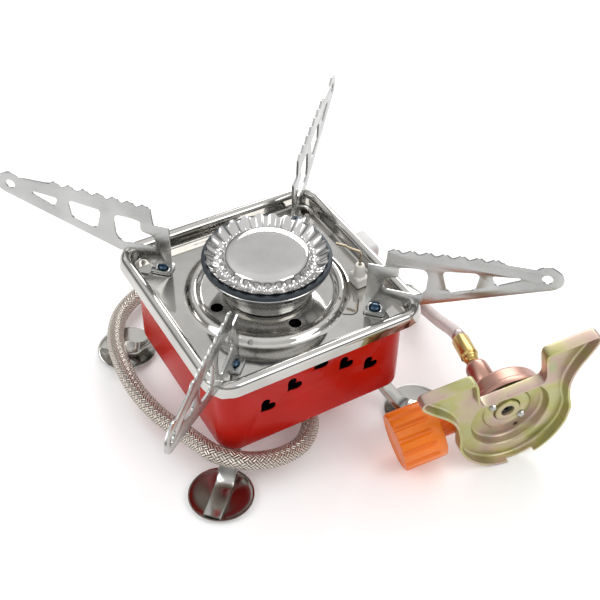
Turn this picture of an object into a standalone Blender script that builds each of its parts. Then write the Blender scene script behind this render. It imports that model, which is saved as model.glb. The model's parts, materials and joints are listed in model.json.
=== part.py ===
"""Folding camping stove with a braided gas hose and a cartridge regulator.

Every size below is in millimetres; MM turns it into metres when a mesh is made.
The origin is on the ground under the burner, +Z is up and the pierced face looks along -Y.
"""

import math

import bmesh
import bpy
from mathutils import Matrix, Vector
from mathutils.geometry import tessellate_polygon

MM = 0.001
GAP = 0.3            # clearance between neighbouring pieces

# Tray, pan and their sheet
TRAY_HALF = 52.0     # outer half width of the top tray
SHEET = 0.8          # thickness of tray, pan and cup
FLOOR_Z = 59.4       # upper face of the tray floor
BEAD_R = 2.7         # rolled edge of the tray
TRAY_CORNER = 12.0
SKIRT_DROP = 3.3     # skirt below the bead centre
PAN_INSET = 6.2      # pan outside the tray's outer width, each side
PAN_BOTTOM_Z = 18.2
PAN_CORNER = 9.0
BOSS_R = 33.0        # crest of the ring pressed round the burner
AIR_HOLE_R = 2.8
AIR_HOLE_AT = 25.0

# Burner
CAP_R = 26.4
FLUTES = 26
CAP_SEGMENTS = 3 * FLUTES
RING_R = 28.5
RING_HEIGHT = 2.9
TUBE_R = 8.0
TUBE_WALL = 1.5

# Pot arms
ARM_SHEET = 1.0
ARM_PIVOT = 48.85    # distance of each arm rivet from the burner axis
TEETH = 7
TOOTH_PITCH = 6.85
TOOTH_DEPTH = 1.5

# Legs
LEG_PIVOT = 50.0
FOOT_AT = 22.0       # foot centre beyond the leg pivot
FOOT_R = 14.5
LEG_WIDTH = 8.4
LEG_SHEET = 1.0
LEG_FLANGE = 2.6

# Rivets
RIVET_HEAD_R = 2.65
RIVET_R = 1.5

# Igniter
BUTTON_TRAVEL = 2.0
BUTTON_WIDTH = 15.0
BUTTON_HEIGHT = 10.0
BUTTON_REACH = 8.3   # button face beyond the tray's outer width

# Hose and regulator
HOSE_R = 4.05
PIPE_R = 3.15
HOSE_POINTS = 72
PLATE_SHEET = 1.2
PLATE_R = 26.9
PLATE_FLANGE = 5.0
RECESS_R = 18.8
RECESS_DEPTH = 4.5
KNOB_R = 13.3
KNOB_LENGTH = 20.2
KNOB_GROOVES = 14
STEM_R = 5.7
STEM_LENGTH = 11.0
SPINDLE_R = 2.2

# Sizes that follow from those above
PAN_HALF = TRAY_HALF - PAN_INSET
VALVE_R = RECESS_R + 0.5
VALVE_RIM = RECESS_R + 2.1
BEAD_AT = TRAY_HALF - BEAD_R
BEAD_Z = FLOOR_Z + 4.8
UNDER_Z = FLOOR_Z - SHEET
PAN_TOP_Z = UNDER_Z - GAP
CUP_Z = FLOOR_Z + 1.6
RING_Z = FLOOR_Z + 17.2
LEG_TOP_Z = PAN_BOTTOM_Z - GAP
INLET_Z = 10.0
WIDE = TRAY_HALF / 52.0   # how much wider than standard the stove is

ARM_ANGLES = {"arm_front_right": -45, "arm_back_right": 45, "arm_back_left": 135, "arm_front_left": 225}
LEG_ANGLES = {"leg_front_right": -45, "leg_back_right": 45, "leg_back_left": 135, "leg_front_left": 225}

# The regulator stands on its lower rim, turned a little and leaning to one side
REG_ORIGIN = Vector((70.5 * WIDE, -92.1 * WIDE, PLATE_R + 0.1))
REG_TURN = math.radians(-11.4)
REG_ROLL = math.radians(11.8)
KNOB_V = -3.2
KNOB_W = -11.4
KNOB_U0 = -STEM_LENGTH - KNOB_LENGTH - VALVE_R - 0.2
NECK_U = -4.7
NECK_V = 10.2


# ---------------------------------------------------------------- materials


def material(name, colour, rough, metallic, coat=0.0):
    """One Principled material."""
    made = bpy.data.materials.new(name)
    made.use_nodes = True
    shader = made.node_tree.nodes["Principled BSDF"]
    shader.inputs["Base Color"].default_value = (*colour, 1.0)
    shader.inputs["Roughness"].default_value = rough
    shader.inputs["Metallic"].default_value = metallic
    shader.inputs["Coat Weight"].default_value = coat
    made.diffuse_color = (*colour, 1.0)
    return made


# ---------------------------------------------------------------- mesh helpers


def finish(name, points, faces, look, origin=(0, 0, 0), matrix=None):
    """An object from points in millimetres, its origin at the given place."""
    at = Vector(origin)
    if matrix is not None:
        points = [matrix @ Vector(p) for p in points]
    mesh = bpy.data.meshes.new(name)
    mesh.from_pydata([(Vector(p) - at) * MM for p in points], [], faces)
    work = bmesh.new()
    work.from_mesh(mesh)
    bmesh.ops.remove_doubles(work, verts=work.verts, dist=1e-7)
    bmesh.ops.recalc_face_normals(work, faces=work.faces)
    work.to_mesh(mesh)
    work.free()
    made = bpy.data.objects.new(name, mesh)
    made.location = at * MM
    bpy.context.scene.collection.objects.link(made)
    if look is not None:
        mesh.materials.append(look)
    return made


def tool(name, points, faces, origin=(0, 0, 0), matrix=None):
    """A shape that is only used to cut or to join."""
    made = finish(name, points, faces, None, origin, matrix)
    made.hide_render = True
    made.display_type = "WIRE"
    return made


def combine(target, other, operation):
    """A live exact Boolean."""
    step = target.modifiers.new(other.name, "BOOLEAN")
    step.operation = operation
    step.solver = "EXACT"
    step.object = other
    return target


def merged(*shapes):
    """Several (points, faces) pairs as one."""
    points = []
    faces = []
    for more_points, more_faces in shapes:
        start = len(points)
        points.extend(more_points)
        faces.extend([[i + start for i in face] for face in more_faces])
    return points, faces


def moved(shape, matrix):
    """The shape after a transform."""
    points, faces = shape
    return [matrix @ Vector(p) for p in points], faces


def loft(rings, closed=False):
    """Skin through rings of equal count, closed on itself or capped at both ends."""
    count = len(rings[0])
    points = [p for ring in rings for p in ring]
    faces = []
    spans = len(rings) if closed else len(rings) - 1
    for k in range(spans):
        a = k * count
        b = ((k + 1) % len(rings)) * count
        for i in range(count):
            j = (i + 1) % count
            faces.append([a + i, a + j, b + j, b + i])
    if not closed:
        faces.append(list(range(count)))
        faces.append(list(range((len(rings) - 1) * count, len(rings) * count)))
    return points, faces


def circle(radius, z, count=48, centre=(0, 0), turn=0.0):
    """A ring of points."""
    return [
        (
            centre[0] + radius * math.cos(math.tau * (i + turn) / count),
            centre[1] + radius * math.sin(math.tau * (i + turn) / count),
            z,
        )
        for i in range(count)
    ]


def square(half_x, half_y, corner, z, steps=5):
    """A rectangle with round corners, as 4 * (steps + 1) points from +X round by +Y."""
    ring = []
    for quarter, (sx, sy) in enumerate(((1, 1), (-1, 1), (-1, -1), (1, -1))):
        cx = sx * (half_x - corner)
        cy = sy * (half_y - corner)
        for i in range(steps + 1):
            angle = math.pi / 2 * (quarter + i / steps)
            ring.append((cx + corner * math.cos(angle), cy + corner * math.sin(angle), z))
    return ring


def round_like_square(radius, z, steps=5):
    """A circle whose points pair up with those of square()."""
    count = 4 * (steps + 1)
    return circle(radius, z, count, turn=0.5)


def lathe(profile, count=48, solid=False):
    """A profile of (radius, z) turned about Z: a closed ring, or a solid with its ends on the axis."""
    if not solid:
        return loft([circle(r, z, count) for r, z in profile], closed=True)
    points = [(0, 0, profile[0][1])]
    faces = []
    rings = profile[1:-1]
    for r, z in rings:
        points.extend(circle(r, z, count))
    points.append((0, 0, profile[-1][1]))
    last = len(points) - 1
    for i in range(count):
        j = (i + 1) % count
        faces.append([0, 1 + j, 1 + i])
        for k in range(len(rings) - 1):
            a = 1 + k * count
            b = a + count
            faces.append([a + i, a + j, b + j, b + i])
        end = 1 + (len(rings) - 1) * count
        faces.append([end + i, end + j, last])
    return points, faces


def plate(outer, holes, z0, z1):
    """A flat sheet with the given outline and holes, between two heights."""
    loops = [[Vector((x, y, 0)) for x, y in loop] for loop in [outer, *holes]]
    flat = [p for loop in loops for p in loop]
    count = len(flat)
    points = [(p.x, p.y, z0) for p in flat] + [(p.x, p.y, z1) for p in flat]
    faces = []
    for a, b, c in tessellate_polygon(loops):
        faces.append([a, b, c])
        faces.append([a + count, b + count, c + count])
    start = 0
    for loop in loops:
        size = len(loop)
        for i in range(size):
            a = start + i
            b = start + (i + 1) % size
            faces.append([a, b, b + count, a + count])
        start += size
    return points, faces


def box(low, high):
    """A box between two corners."""
    (x0, y0, z0), (x1, y1, z1) = low, high
    return plate([(x0, y0), (x1, y0), (x1, y1), (x0, y1)], [], z0, z1)


def smooth_path(route, count):
    """Evenly spread points on a smooth curve through the route."""
    knots = [Vector(p) for p in route]
    knots = [2 * knots[0] - knots[1], *knots, 2 * knots[-1] - knots[-2]]
    fine = []
    for i in range(1, len(knots) - 2):
        p0, p1, p2, p3 = knots[i - 1:i + 3]
        for step in range(20):
            t = step / 20
            fine.append(
                0.5 * (2 * p1 + (p2 - p0) * t + (2 * p0 - 5 * p1 + 4 * p2 - p3) * t * t
                       + (3 * p1 - p0 - 3 * p2 + p3) * t ** 3)
            )
    fine.append(knots[-2])
    lengths = [0.0]
    for a, b in zip(fine, fine[1:]):
        lengths.append(lengths[-1] + (b - a).length)
    spread = []
    k = 0
    for i in range(count):
        want = lengths[-1] * i / (count - 1)
        while k < len(fine) - 2 and lengths[k + 1] < want:
            k += 1
        span = max(lengths[k + 1] - lengths[k], 1e-9)
        spread.append(fine[k].lerp(fine[k + 1], (want - lengths[k]) / span))
    return spread


def sweep(path, section, up=(0, 0, 1)):
    """A section of (side, up) points carried along a path, capped at both ends."""
    path = [Vector(p) for p in path]
    normal = Vector(up)
    rings = []
    for i, point in enumerate(path):
        ahead = (path[min(i + 1, len(path) - 1)] - point)
        behind = (point - path[max(i - 1, 0)])
        if ahead.length == 0:
            ahead = behind
        if behind.length == 0:
            behind = ahead
        along = (ahead.normalized() + behind.normalized()).normalized()
        normal = (normal - along * normal.dot(along)).normalized()
        side = along.cross(normal)
        stretch = 1 / max(0.5, along.dot(ahead.normalized()))
        rings.append([point + side * a + normal * b * stretch for a, b in section])
    return loft(rings)


def rod(path, radius, count=10, up=(0, 0, 1)):
    """A round rod along a path."""
    section = [(x, y) for x, y, _ in circle(radius, 0, count)]
    return sweep(path, section, up)


def facing(origin, direction, up=(0, 0, 1)):
    """A frame whose +Z runs along the direction."""
    z = Vector(direction).normalized()
    x = Vector(up).cross(z).normalized()
    y = z.cross(x)
    frame = Matrix((x, y, z)).transposed().to_4x4()
    return Matrix.Translation(Vector(origin)) @ frame


def turned(degrees):
    """A turn about the burner axis."""
    return Matrix.Rotation(math.radians(degrees), 4, "Z")


# ---------------------------------------------------------------- tray and pan


def make_tray(look):
    """The pressed tray: rolled edge, flat floor and the ring round the burner."""
    inner = BEAD_AT - BEAD_R
    corner = TRAY_CORNER
    thin = BEAD_R - SHEET
    skirt_z = BEAD_Z - SKIRT_DROP
    rings = []

    def level(half, z, radius):
        rings.append(square(half, half, radius, z))

    level(TRAY_HALF, skirt_z, corner)
    for angle in (0, 36, 72, 108, 144, 180):
        c = math.cos(math.radians(angle))
        s = math.sin(math.radians(angle))
        level(BEAD_AT + BEAD_R * c, BEAD_Z + BEAD_R * s, corner - BEAD_R * (1 - c))
    level(inner, FLOOR_Z + 0.9, corner - 2 * BEAD_R)
    level(inner - 0.9, FLOOR_Z, corner - 2 * BEAD_R - 0.9)
    for r, z in ((3.6, 0), (3.0, 0.5), (1.6, 2.1), (0, 2.6), (-1.6, 2.1), (-2.9, 0.5), (-3.5, 0)):
        rings.append(round_like_square(BOSS_R + r, FLOOR_Z + z))
    rings.append(round_like_square(TUBE_R + GAP, FLOOR_Z))
    rings.append(round_like_square(TUBE_R + GAP, UNDER_Z))
    for r, z in ((-2.9, 0), (-2.2, 0.3), (-1.1, 1.6), (0, 1.9), (1.1, 1.6), (2.3, 0.3), (3.0, 0)):
        rings.append(round_like_square(BOSS_R + r, UNDER_Z + z))
    level(inner - 0.5, UNDER_Z, corner - 2 * BEAD_R - 0.5)
    level(inner + SHEET, FLOOR_Z + 0.6, corner - 2 * BEAD_R + SHEET)
    for angle in (180, 144, 108, 72, 36, 0):
        c = math.cos(math.radians(angle))
        s = math.sin(math.radians(angle))
        level(BEAD_AT + thin * c, BEAD_Z + thin * s, corner - BEAD_R + thin * c)
    level(TRAY_HALF - SHEET, skirt_z, corner - SHEET)
    tray = finish("tray", *loft(rings, closed=True), look)

    holes = [lathe([(0, UNDER_Z - 5), (AIR_HOLE_R, UNDER_Z - 5), (AIR_HOLE_R, FLOOR_Z + 5), (0, FLOOR_Z + 5)],
                   14, solid=True)]
    air = []
    for k in range(4):
        at = Matrix.Translation(turned(90 * k) @ Vector((AIR_HOLE_AT, 0, 0)))
        air.append(moved(holes[0], at))
    bore = RIVET_R + GAP
    for angle in ARM_ANGLES.values():
        at = Matrix.Translation(turned(angle) @ Vector((ARM_PIVOT, 0, 0)))
        pin = lathe([(0, UNDER_Z - 3), (bore, UNDER_Z - 3), (bore, FLOOR_Z + 3), (0, FLOOR_Z + 3)], 12, solid=True)
        air.append(moved(pin, at))
    lead = lathe([(0, UNDER_Z - 3), (2.9, UNDER_Z - 3), (2.9, FLOOR_Z + 3), (0, FLOOR_Z + 3)], 12, solid=True)
    air.append(moved(lead, Matrix.Translation(electrode_at())))
    combine(tray, tool("tray_holes", *merged(*air)), "DIFFERENCE")
    return tray


def heart(x, z, size):
    """The outline of one pierced heart, leaning to the lower left."""
    outline = []
    count = 16
    for i in range(count):
        t = math.tau * (i + 0.5) / count
        a = 16 * math.sin(t) ** 3
        b = 13 * math.cos(t) - 5 * math.cos(2 * t) - 2 * math.cos(3 * t) - math.cos(4 * t)
        a, b = a / 17, (b + 2) / 17
        lean = math.radians(-50)
        outline.append(
            (x + size * (a * math.cos(lean) - b * math.sin(lean)), z + size * (a * math.sin(lean) + b * math.cos(lean)))
        )
    return outline


def make_pan(look):
    """The painted pan that hangs below the tray."""
    half = PAN_HALF
    bend = 3.0
    inner = bend - SHEET
    rings = [square(half, half, PAN_CORNER, PAN_TOP_Z)]
    for angle in (0, 30, 60, 90):
        c = math.cos(math.radians(angle))
        s = math.sin(math.radians(angle))
        size = half - bend * (1 - c)
        rings.append(square(size, size, PAN_CORNER - bend * (1 - c), PAN_BOTTOM_Z + bend * (1 - s)))
    rings.append(round_like_square(5.6, PAN_BOTTOM_Z))
    rings.append(round_like_square(5.6, PAN_BOTTOM_Z + SHEET))
    for angle in (90, 60, 30, 0):
        c = math.cos(math.radians(angle))
        s = math.sin(math.radians(angle))
        size = half - bend + inner * c
        rings.append(square(size, size, PAN_CORNER - bend + inner * c, PAN_BOTTOM_Z + bend - inner * s))
    rings.append(square(half - SHEET, half - SHEET, PAN_CORNER - SHEET, PAN_TOP_Z))
    pan = finish("body_pan", *loft(rings, closed=True), look)

    stand_up = Matrix.Rotation(math.radians(90), 4, "X")
    shapes = []
    for k in range(5):
        drop = abs(k - 2)
        outline = heart((k - 2) * 12.8 * WIDE, FLOOR_Z - 6.9 - 6.35 * drop, 4.4)
        shapes.append(moved(plate(outline, [], -half - 9, half + 9), stand_up))
    bore = RIVET_R + GAP
    for angle in LEG_ANGLES.values():
        at = Matrix.Translation(turned(angle) @ Vector((LEG_PIVOT, 0, PAN_BOTTOM_Z)))
        pin = lathe([(0, -4), (bore, -4), (bore, 4), (0, 4)], 12, solid=True)
        shapes.append(moved(pin, at))
    y0, y1, z0, z1 = button_stem()
    shapes.append(box((half - 4, y0 - GAP, z0 - GAP), (half + 4, y1 + GAP, z1 + GAP)))
    combine(pan, tool("pan_holes", *merged(*shapes)), "DIFFERENCE")
    return pan


# ---------------------------------------------------------------- burner


def make_burner(chrome, slate, steel, brass):
    """Cup, dark ring, fluted cap, mixing tube, nut, jet and its holder."""
    t = SHEET
    bore = TUBE_R - TUBE_WALL
    top = RING_Z - GAP
    cup = [
        (bore, CUP_Z), (19.4, CUP_Z), (20.2, CUP_Z + 2.4), (22.6, CUP_Z + 7.2), (26.4, top - 2.6), (27.2, top),
        (27.2 - t, top), (26.4 - t, top - 2.2), (22.6 - t, CUP_Z + 7.6), (20.2 - t, CUP_Z + 2.8),
        (19.0 - t, CUP_Z + t), (bore, CUP_Z + t),
    ]
    finish("burner_cup", *lathe(cup, 30), chrome)
    ring_top = RING_Z + RING_HEIGHT
    ring = [
        (RING_R - 2.6, RING_Z), (RING_R - 0.7, RING_Z), (RING_R, RING_Z + 0.7), (RING_R, ring_top - 0.7),
        (RING_R - 0.7, ring_top), (RING_R - 2.0, ring_top), (RING_R - 2.6, ring_top - 0.6),
    ]
    finish("burner_ring", *lathe(ring, 36), slate)

    rest = ring_top + GAP
    levels = [
        (9.0, 1.2, 0.0), (17.0, 1.05, 0.0), (18.8, 0.2, 0.05), (19.9, -1.8, 0.3), (21.4, -2.9, 0.6),
        (23.6, -1.5, 0.85), (CAP_R, 0.75, 1.0),
    ]
    upper = []
    lower = []
    for r, z, wave in levels:
        over = []
        under = []
        for i in range(CAP_SEGMENTS):
            angle = math.tau * i / CAP_SEGMENTS
            fold = wave * math.cos(FLUTES * angle)
            reach = r + 0.45 * fold
            lift = rest + z + 0.55 * fold
            x = math.cos(angle)
            y = math.sin(angle)
            over.append((reach * x, reach * y, lift))
            under.append((reach * x, reach * y, lift - 0.7))
        upper.append(over)
        lower.append(under)
    count = CAP_SEGMENTS
    rings = upper + lower[::-1]
    points = [p for one in rings for p in one]
    points.append((0, 0, rest + 1.2))
    points.append((0, 0, rest + 0.5))
    faces = []
    for k in range(len(rings) - 1):
        a = k * count
        b = a + count
        for i in range(count):
            j = (i + 1) % count
            faces.append([a + i, a + j, b + j, b + i])
    last = (len(rings) - 1) * count
    for i in range(count):
        j = (i + 1) % count
        faces.append([i, j, len(points) - 2])
        faces.append([last + i, last + j, len(points) - 1])
    finish("flame_cap", points, faces, chrome)

    # The tube's flange stands on the tray, a nut holds it from below
    flange = 11.5
    foot = FLOOR_Z + GAP
    base = 29.3
    tube = [
        (bore, base), (TUBE_R, base), (TUBE_R, foot), (flange, foot), (flange, CUP_Z - GAP), (bore, CUP_Z - GAP),
    ]
    mixing = finish("mixing_tube", *lathe(tube, 24), steel)
    window = box((-TUBE_R - 4, -2.2, base + 8.5), (TUBE_R + 4, 2.2, base + 13.5))
    combine(mixing, tool("tube_windows", *window), "DIFFERENCE")
    hexed = [(13.0 * math.cos(math.tau * i / 6), 13.0 * math.sin(math.tau * i / 6)) for i in range(6)]
    hole = [(x, y) for x, y, _ in circle(TUBE_R + GAP, 0, 32)]
    finish("burner_nut", *plate(hexed, [hole], UNDER_Z - GAP - 3.6, UNDER_Z - GAP), steel)

    low = PAN_BOTTOM_Z + SHEET + GAP
    holder = [(2.0, low), (8.6, low), (9.2, low + 0.6), (9.2, base - GAP), (bore - GAP, base - GAP),
              (bore - GAP, base + 4.7), (2.0, base + 4.7)]
    finish("jet_holder", *lathe(holder, 18), brass)
    jet = [(0.5, base), (2.0 - GAP, base), (2.0 - GAP, base + 5.0), (3.2, base + 5.0), (3.2, base + 6.4),
           (2.0, base + 7.6), (0.5, base + 7.6)]
    finish("gas_jet", *lathe(jet, 12), brass)


def make_inlet(brass, steel):
    """The elbow below the pan, its nut and the sleeve over the hose end."""
    low = PAN_BOTTOM_Z + SHEET
    path = [(0, 0, low), (0, 0, INLET_Z + 3.5), (0, -1.0, INLET_Z + 1.0), (0, -3.5, INLET_Z), (0, -12, INLET_Z)]
    finish("inlet_elbow", *rod(path, 4.4, 16, up=(0, 1, 0)), brass)
    hexed = [(8.0 * math.cos(math.tau * i / 6), 8.0 * math.sin(math.tau * i / 6)) for i in range(6)]
    hole = [(x, y) for x, y, _ in circle(4.4 + GAP, 0, 24)]
    finish("inlet_nut", *plate(hexed, [hole], PAN_BOTTOM_Z - GAP - 3, PAN_BOTTOM_Z - GAP), brass)
    bore = HOSE_R + GAP
    sleeve = [(bore, 0), (bore + 1.2, 0), (bore + 1.2, 10), (bore + 0.8, 11.4), (bore, 11.4)]
    finish("hose_inlet_sleeve", *lathe(sleeve, 18), steel, matrix=facing((0, -12.3, INLET_Z), (0, -1, 0)))


# ---------------------------------------------------------------- igniter


def electrode_at():
    """Where the electrode stands on the tray."""
    return Vector((TRAY_HALF - 14.0, -16.2, 0))


def button_stem():
    """Low and high y, then low and high z, of the button's stem."""
    middle = PAN_TOP_Z - 4.6
    return 3.7, 11.3, middle - 2.6, middle + 2.6


def make_igniter(ceramic, brass, plastic, grey, rubber):
    """Electrode, lead, piezo body and the push button outside the pan."""
    at = electrode_at()
    wire_r = 0.6
    bore = wire_r + GAP
    foot = FLOOR_Z + GAP
    rings = [
        round_like_square(2.6, foot - 10, 3), round_like_square(2.6, foot, 3),
        square(3.25, 3.9, 0.6, foot, 3), square(3.25, 3.9, 0.6, foot + 4.4, 3), square(2.9, 3.4, 0.8, foot + 5.0, 3),
        round_like_square(2.9, foot + 5.4, 3), round_like_square(2.2, foot + 10.2, 3),
        round_like_square(1.7, foot + 10.6, 3), round_like_square(bore, foot + 10.6, 3),
        round_like_square(bore, foot - 10, 3),
    ]
    body = loft(rings, closed=True)
    finish("electrode_insulator", *body, ceramic, matrix=Matrix.Translation(at))
    high = FLOOR_Z + 18.1
    tip = Vector((RING_R + 2.9, at.y + 10.0, high + 0.2))
    turn = Vector((at.x - 0.4, at.y + 0.6, high - 0.2))
    path = [
        (at.x, at.y, foot - 12), (at.x, at.y, high - 1.0), turn, turn.lerp(tip, 0.12), turn.lerp(tip, 0.6), tip,
    ]
    finish("electrode_wire", *rod(path, wire_r, 8, up=(0, 1, 0)), brass)

    y0, y1, z0, z1 = button_stem()
    socket_x = PAN_HALF - SHEET - GAP
    shell = finish(
        "igniter_body",
        *box((PAN_HALF - 26, y0 - 2.2, z0 - 2.2), (socket_x, y1 + 2.2, z1 + 1.6)),
        plastic,
    )
    hollow = box((PAN_HALF - 12, y0 - GAP, z0 - GAP), (socket_x + 5, y1 + GAP, z1 + GAP))
    combine(shell, tool("igniter_socket", *hollow), "DIFFERENCE")

    cap_low = PAN_HALF + BUTTON_TRAVEL + 1.6
    cap_high = TRAY_HALF + BUTTON_REACH
    middle_y = (y0 + y1) / 2
    middle_z = BEAD_Z - SKIRT_DROP - 0.9 - BUTTON_HEIGHT / 2
    half = BUTTON_WIDTH / 2
    tall = BUTTON_HEIGHT / 2
    turn_x = Matrix.Rotation(math.radians(90), 4, "Y") @ Matrix.Rotation(math.radians(90), 4, "Z")
    place = Matrix.Translation(Vector((0, middle_y, middle_z))) @ turn_x
    block = loft([
        square(half, tall, 2.0, cap_low, 4), square(half, tall, 2.0, cap_high - 1.2, 4),
        square(half - 0.35, tall - 0.35, 1.8, cap_high - 0.35, 4),
        square(half - 1.2, tall - 1.2, 1.4, cap_high, 4),
    ])
    origin = (cap_low, middle_y, middle_z)
    button = finish("igniter_button", *block, grey, origin=origin, matrix=place)
    stem = tool("button_stem", *box((PAN_HALF - 8, y0, z0), (cap_low + 3, y1, z1)), origin=origin)
    combine(button, stem, "UNION")

    start = Vector((PAN_HALF - 22, y0 - 2.2 - 2 * GAP, z0 + 1))
    end = Vector((at.x, at.y, foot - 12.3))
    path = smooth_path([start, start + Vector((0, -3, 0)), start + Vector((0.5, -6, -1.5)), Vector((end.x - 4, end.y + 6, end.z - 5)),
                        end + Vector((0, 0.4, -4)), end], 14)
    finish("ignition_lead", *rod(path, 0.9, 8, up=(0, 0, 1)), rubber)


# ---------------------------------------------------------------- arms and legs


def arm_outline():
    """The blade from the side: distance beyond the rivet and height above the tray floor."""
    head = RIVET_HEAD_R + 0.7
    outline = [
        (-4.4, GAP), (-head, GAP), (-head, 2.5), (-head + 1.2, 3.9), (head - 1.2, 3.9), (head, 2.5), (head, GAP),
        (4.7, GAP), (7.4, 4.6), (11.4, 4.6), (13.4, 7.9), (19.7, 7.9), (72.5, 29.6), (74.9, 31.5), (75.7, 34.0), (75.2, 36.4),
        (73.2, 38.6), (70.4, 40.2), (67.9, 40.3), (65.6, 39.2), (64.3, 37.9),
    ]
    first = 6.6
    last = first + (TEETH - 1) * TOOTH_PITCH
    for k in range(TEETH):
        along = last - k * TOOTH_PITCH
        crest = 35.4 + 3.9 * (TEETH - 1 - k) / (TEETH - 1)
        ahead = 2.6 if k else 5.0
        outline.append((along + ahead, crest - TOOTH_DEPTH + 0.25))
        outline.append((along + 1.3, crest - 0.25))
        outline.append((along, crest))
        outline.append((along - 1.5, crest - 0.45))
        outline.append((along - 3.0, crest - TOOTH_DEPTH - 0.2))
    outline.extend([(3.3, 31.0), (2.9, 28.0), (2.5, 25.1), (-4.4, 25.1)])
    return outline


def arm_windows():
    """The two openings and the tip hole of the blade."""
    first = [
        (8.6, 26.3), (13.8, 27.3), (19.0, 27.6), (20.6, 26.6), (21.3, 24.0), (21.0, 16.2), (19.6, 13.9), (17.1, 12.6),
        (4.2, 12.8), (2.6, 14.2), (2.4, 17.6), (3.7, 19.6), (8.0, 20.7), (8.9, 22.0),
    ]
    second = [(28.0, 28.7), (40.6, 30.8), (42.3, 29.6), (41.4, 22.1), (40.2, 21.0), (31.6, 17.9), (29.5, 18.6), (27.2, 27.2)]
    third = [(47.9, 31.0), (58.4, 32.4), (59.3, 31.2), (50.0, 26.0), (48.6, 26.6), (47.3, 30.0)]
    tip = [(69.1 + x, 34.2 + y) for x, y, _ in circle(2.3, 0, 10)]
    return [first, second, third, tip]


def make_arms(steel, blue):
    """Four identical upright blades, each turning on its own rivet."""
    upright = Matrix.Rotation(math.radians(90), 4, "X")
    raise_to = Matrix.Translation(Vector((ARM_PIVOT, 0, FLOOR_Z)))
    bore = [(x, y) for x, y, _ in circle(RIVET_R + GAP, 0, 12)]
    for name, angle in ARM_ANGLES.items():
        pivot = turned(angle) @ Vector((ARM_PIVOT, 0, FLOOR_Z))
        place = turned(angle) @ raise_to
        blade = plate(arm_outline(), arm_windows(), -ARM_SHEET, 0.0)
        arm = finish(name, *blade, steel, origin=pivot, matrix=place @ upright)
        pad = [
            (-4.6, -2.6), (-3.2, -4.0), (3.4, -4.0), (4.9, -2.6), (4.9, 2.6), (3.4, 4.0), (-3.2, 4.0), (-4.6, 2.6),
        ]
        foot = plate(pad, [bore], GAP - 0.01, GAP + ARM_SHEET)
        combine(arm, tool(name + "_pad", *foot, origin=pivot, matrix=place), "UNION")
        head = GAP + ARM_SHEET + GAP
        low = -SHEET - GAP
        rivet = [
            (0, head + 1.5), (1.2, head + 1.35), (2.1, head + 0.8), (RIVET_HEAD_R, head), (RIVET_R, head),
            (RIVET_R, low), (2.5, low), (2.2, low - 0.9), (0, low - 1.1),
        ]
        rivet_name = name.replace("arm", "arm_rivet")
        finish(rivet_name, *lathe(rivet, 10, solid=True), blue, matrix=place)


def make_legs(steel):
    """Four folding legs: a channelled strap that ends on a dished round foot."""
    wide = LEG_WIDTH / 2
    t = LEG_SHEET
    deep = LEG_FLANGE
    section = [
        (-wide, -deep), (-wide, 0), (wide, 0), (wide, -deep), (wide - t, -deep), (wide - t, -t), (-wide + t, -t),
        (-wide + t, -deep),
    ]
    top = LEG_TOP_Z
    over = 3.4
    path = [
        (-5.2, 0, top), (3.6, 0, top), (6.2, 0, top - 1.6), (9.0, 0, top - 5.4), (12.4, 0, over + 5.0),
        (15.2, 0, over + 1.8), (18.0, 0, over + 0.3), (FOOT_AT + 8, 0, over), (FOOT_AT + 12.6, 0, over - 0.2),
    ]
    dish = [
        (0, 1.0), (8.0, 1.1), (12.4, 1.7), (FOOT_R - 0.4, 2.6), (FOOT_R, 2.4), (FOOT_R - 0.2, 1.9), (12.6, 0.8),
        (8.6, 0), (0, 0),
    ]
    bore = RIVET_R + GAP
    pin = lathe([(0, top - 6), (bore, top - 6), (bore, top + 3), (0, top + 3)], 12, solid=True)
    for name, angle in LEG_ANGLES.items():
        place = turned(angle) @ Matrix.Translation(Vector((LEG_PIVOT, 0, 0)))
        pivot = place @ Vector((0, 0, top))
        leg = finish(name, *sweep(path, section), steel, origin=pivot, matrix=place)
        foot_place = place @ Matrix.Translation(Vector((FOOT_AT, 0, 0)))
        foot = tool(name + "_foot", *lathe(dish, 26, solid=True), origin=pivot, matrix=foot_place)
        combine(leg, foot, "UNION")
        combine(leg, tool(name + "_bore", *pin, origin=pivot, matrix=place), "DIFFERENCE")
        high = PAN_BOTTOM_Z + SHEET + GAP
        low = top - t - GAP
        rivet = [
            (0, high + 1.4), (1.8, high + 1.1), (RIVET_HEAD_R, high), (RIVET_R, high), (RIVET_R, low),
            (RIVET_HEAD_R, low), (1.8, low - 1.1), (0, low - 1.4),
        ]
        rivet_name = name.replace("leg", "leg_rivet")
        finish(rivet_name, *lathe(rivet, 10, solid=True), steel, matrix=place)


# ---------------------------------------------------------------- regulator


def regulator_frame():
    """u runs across the plate, v up it and w out of its face."""
    face = Vector((math.sin(REG_TURN), -math.cos(REG_TURN), 0))
    level = Vector((math.cos(REG_TURN), math.sin(REG_TURN), 0))
    across = level * math.cos(REG_ROLL) + Vector((0, 0, 1)) * math.sin(REG_ROLL)
    upward = face.cross(across)
    frame = Matrix((across, upward, face)).transposed().to_4x4()
    return Matrix.Translation(REG_ORIGIN) @ frame


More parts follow.
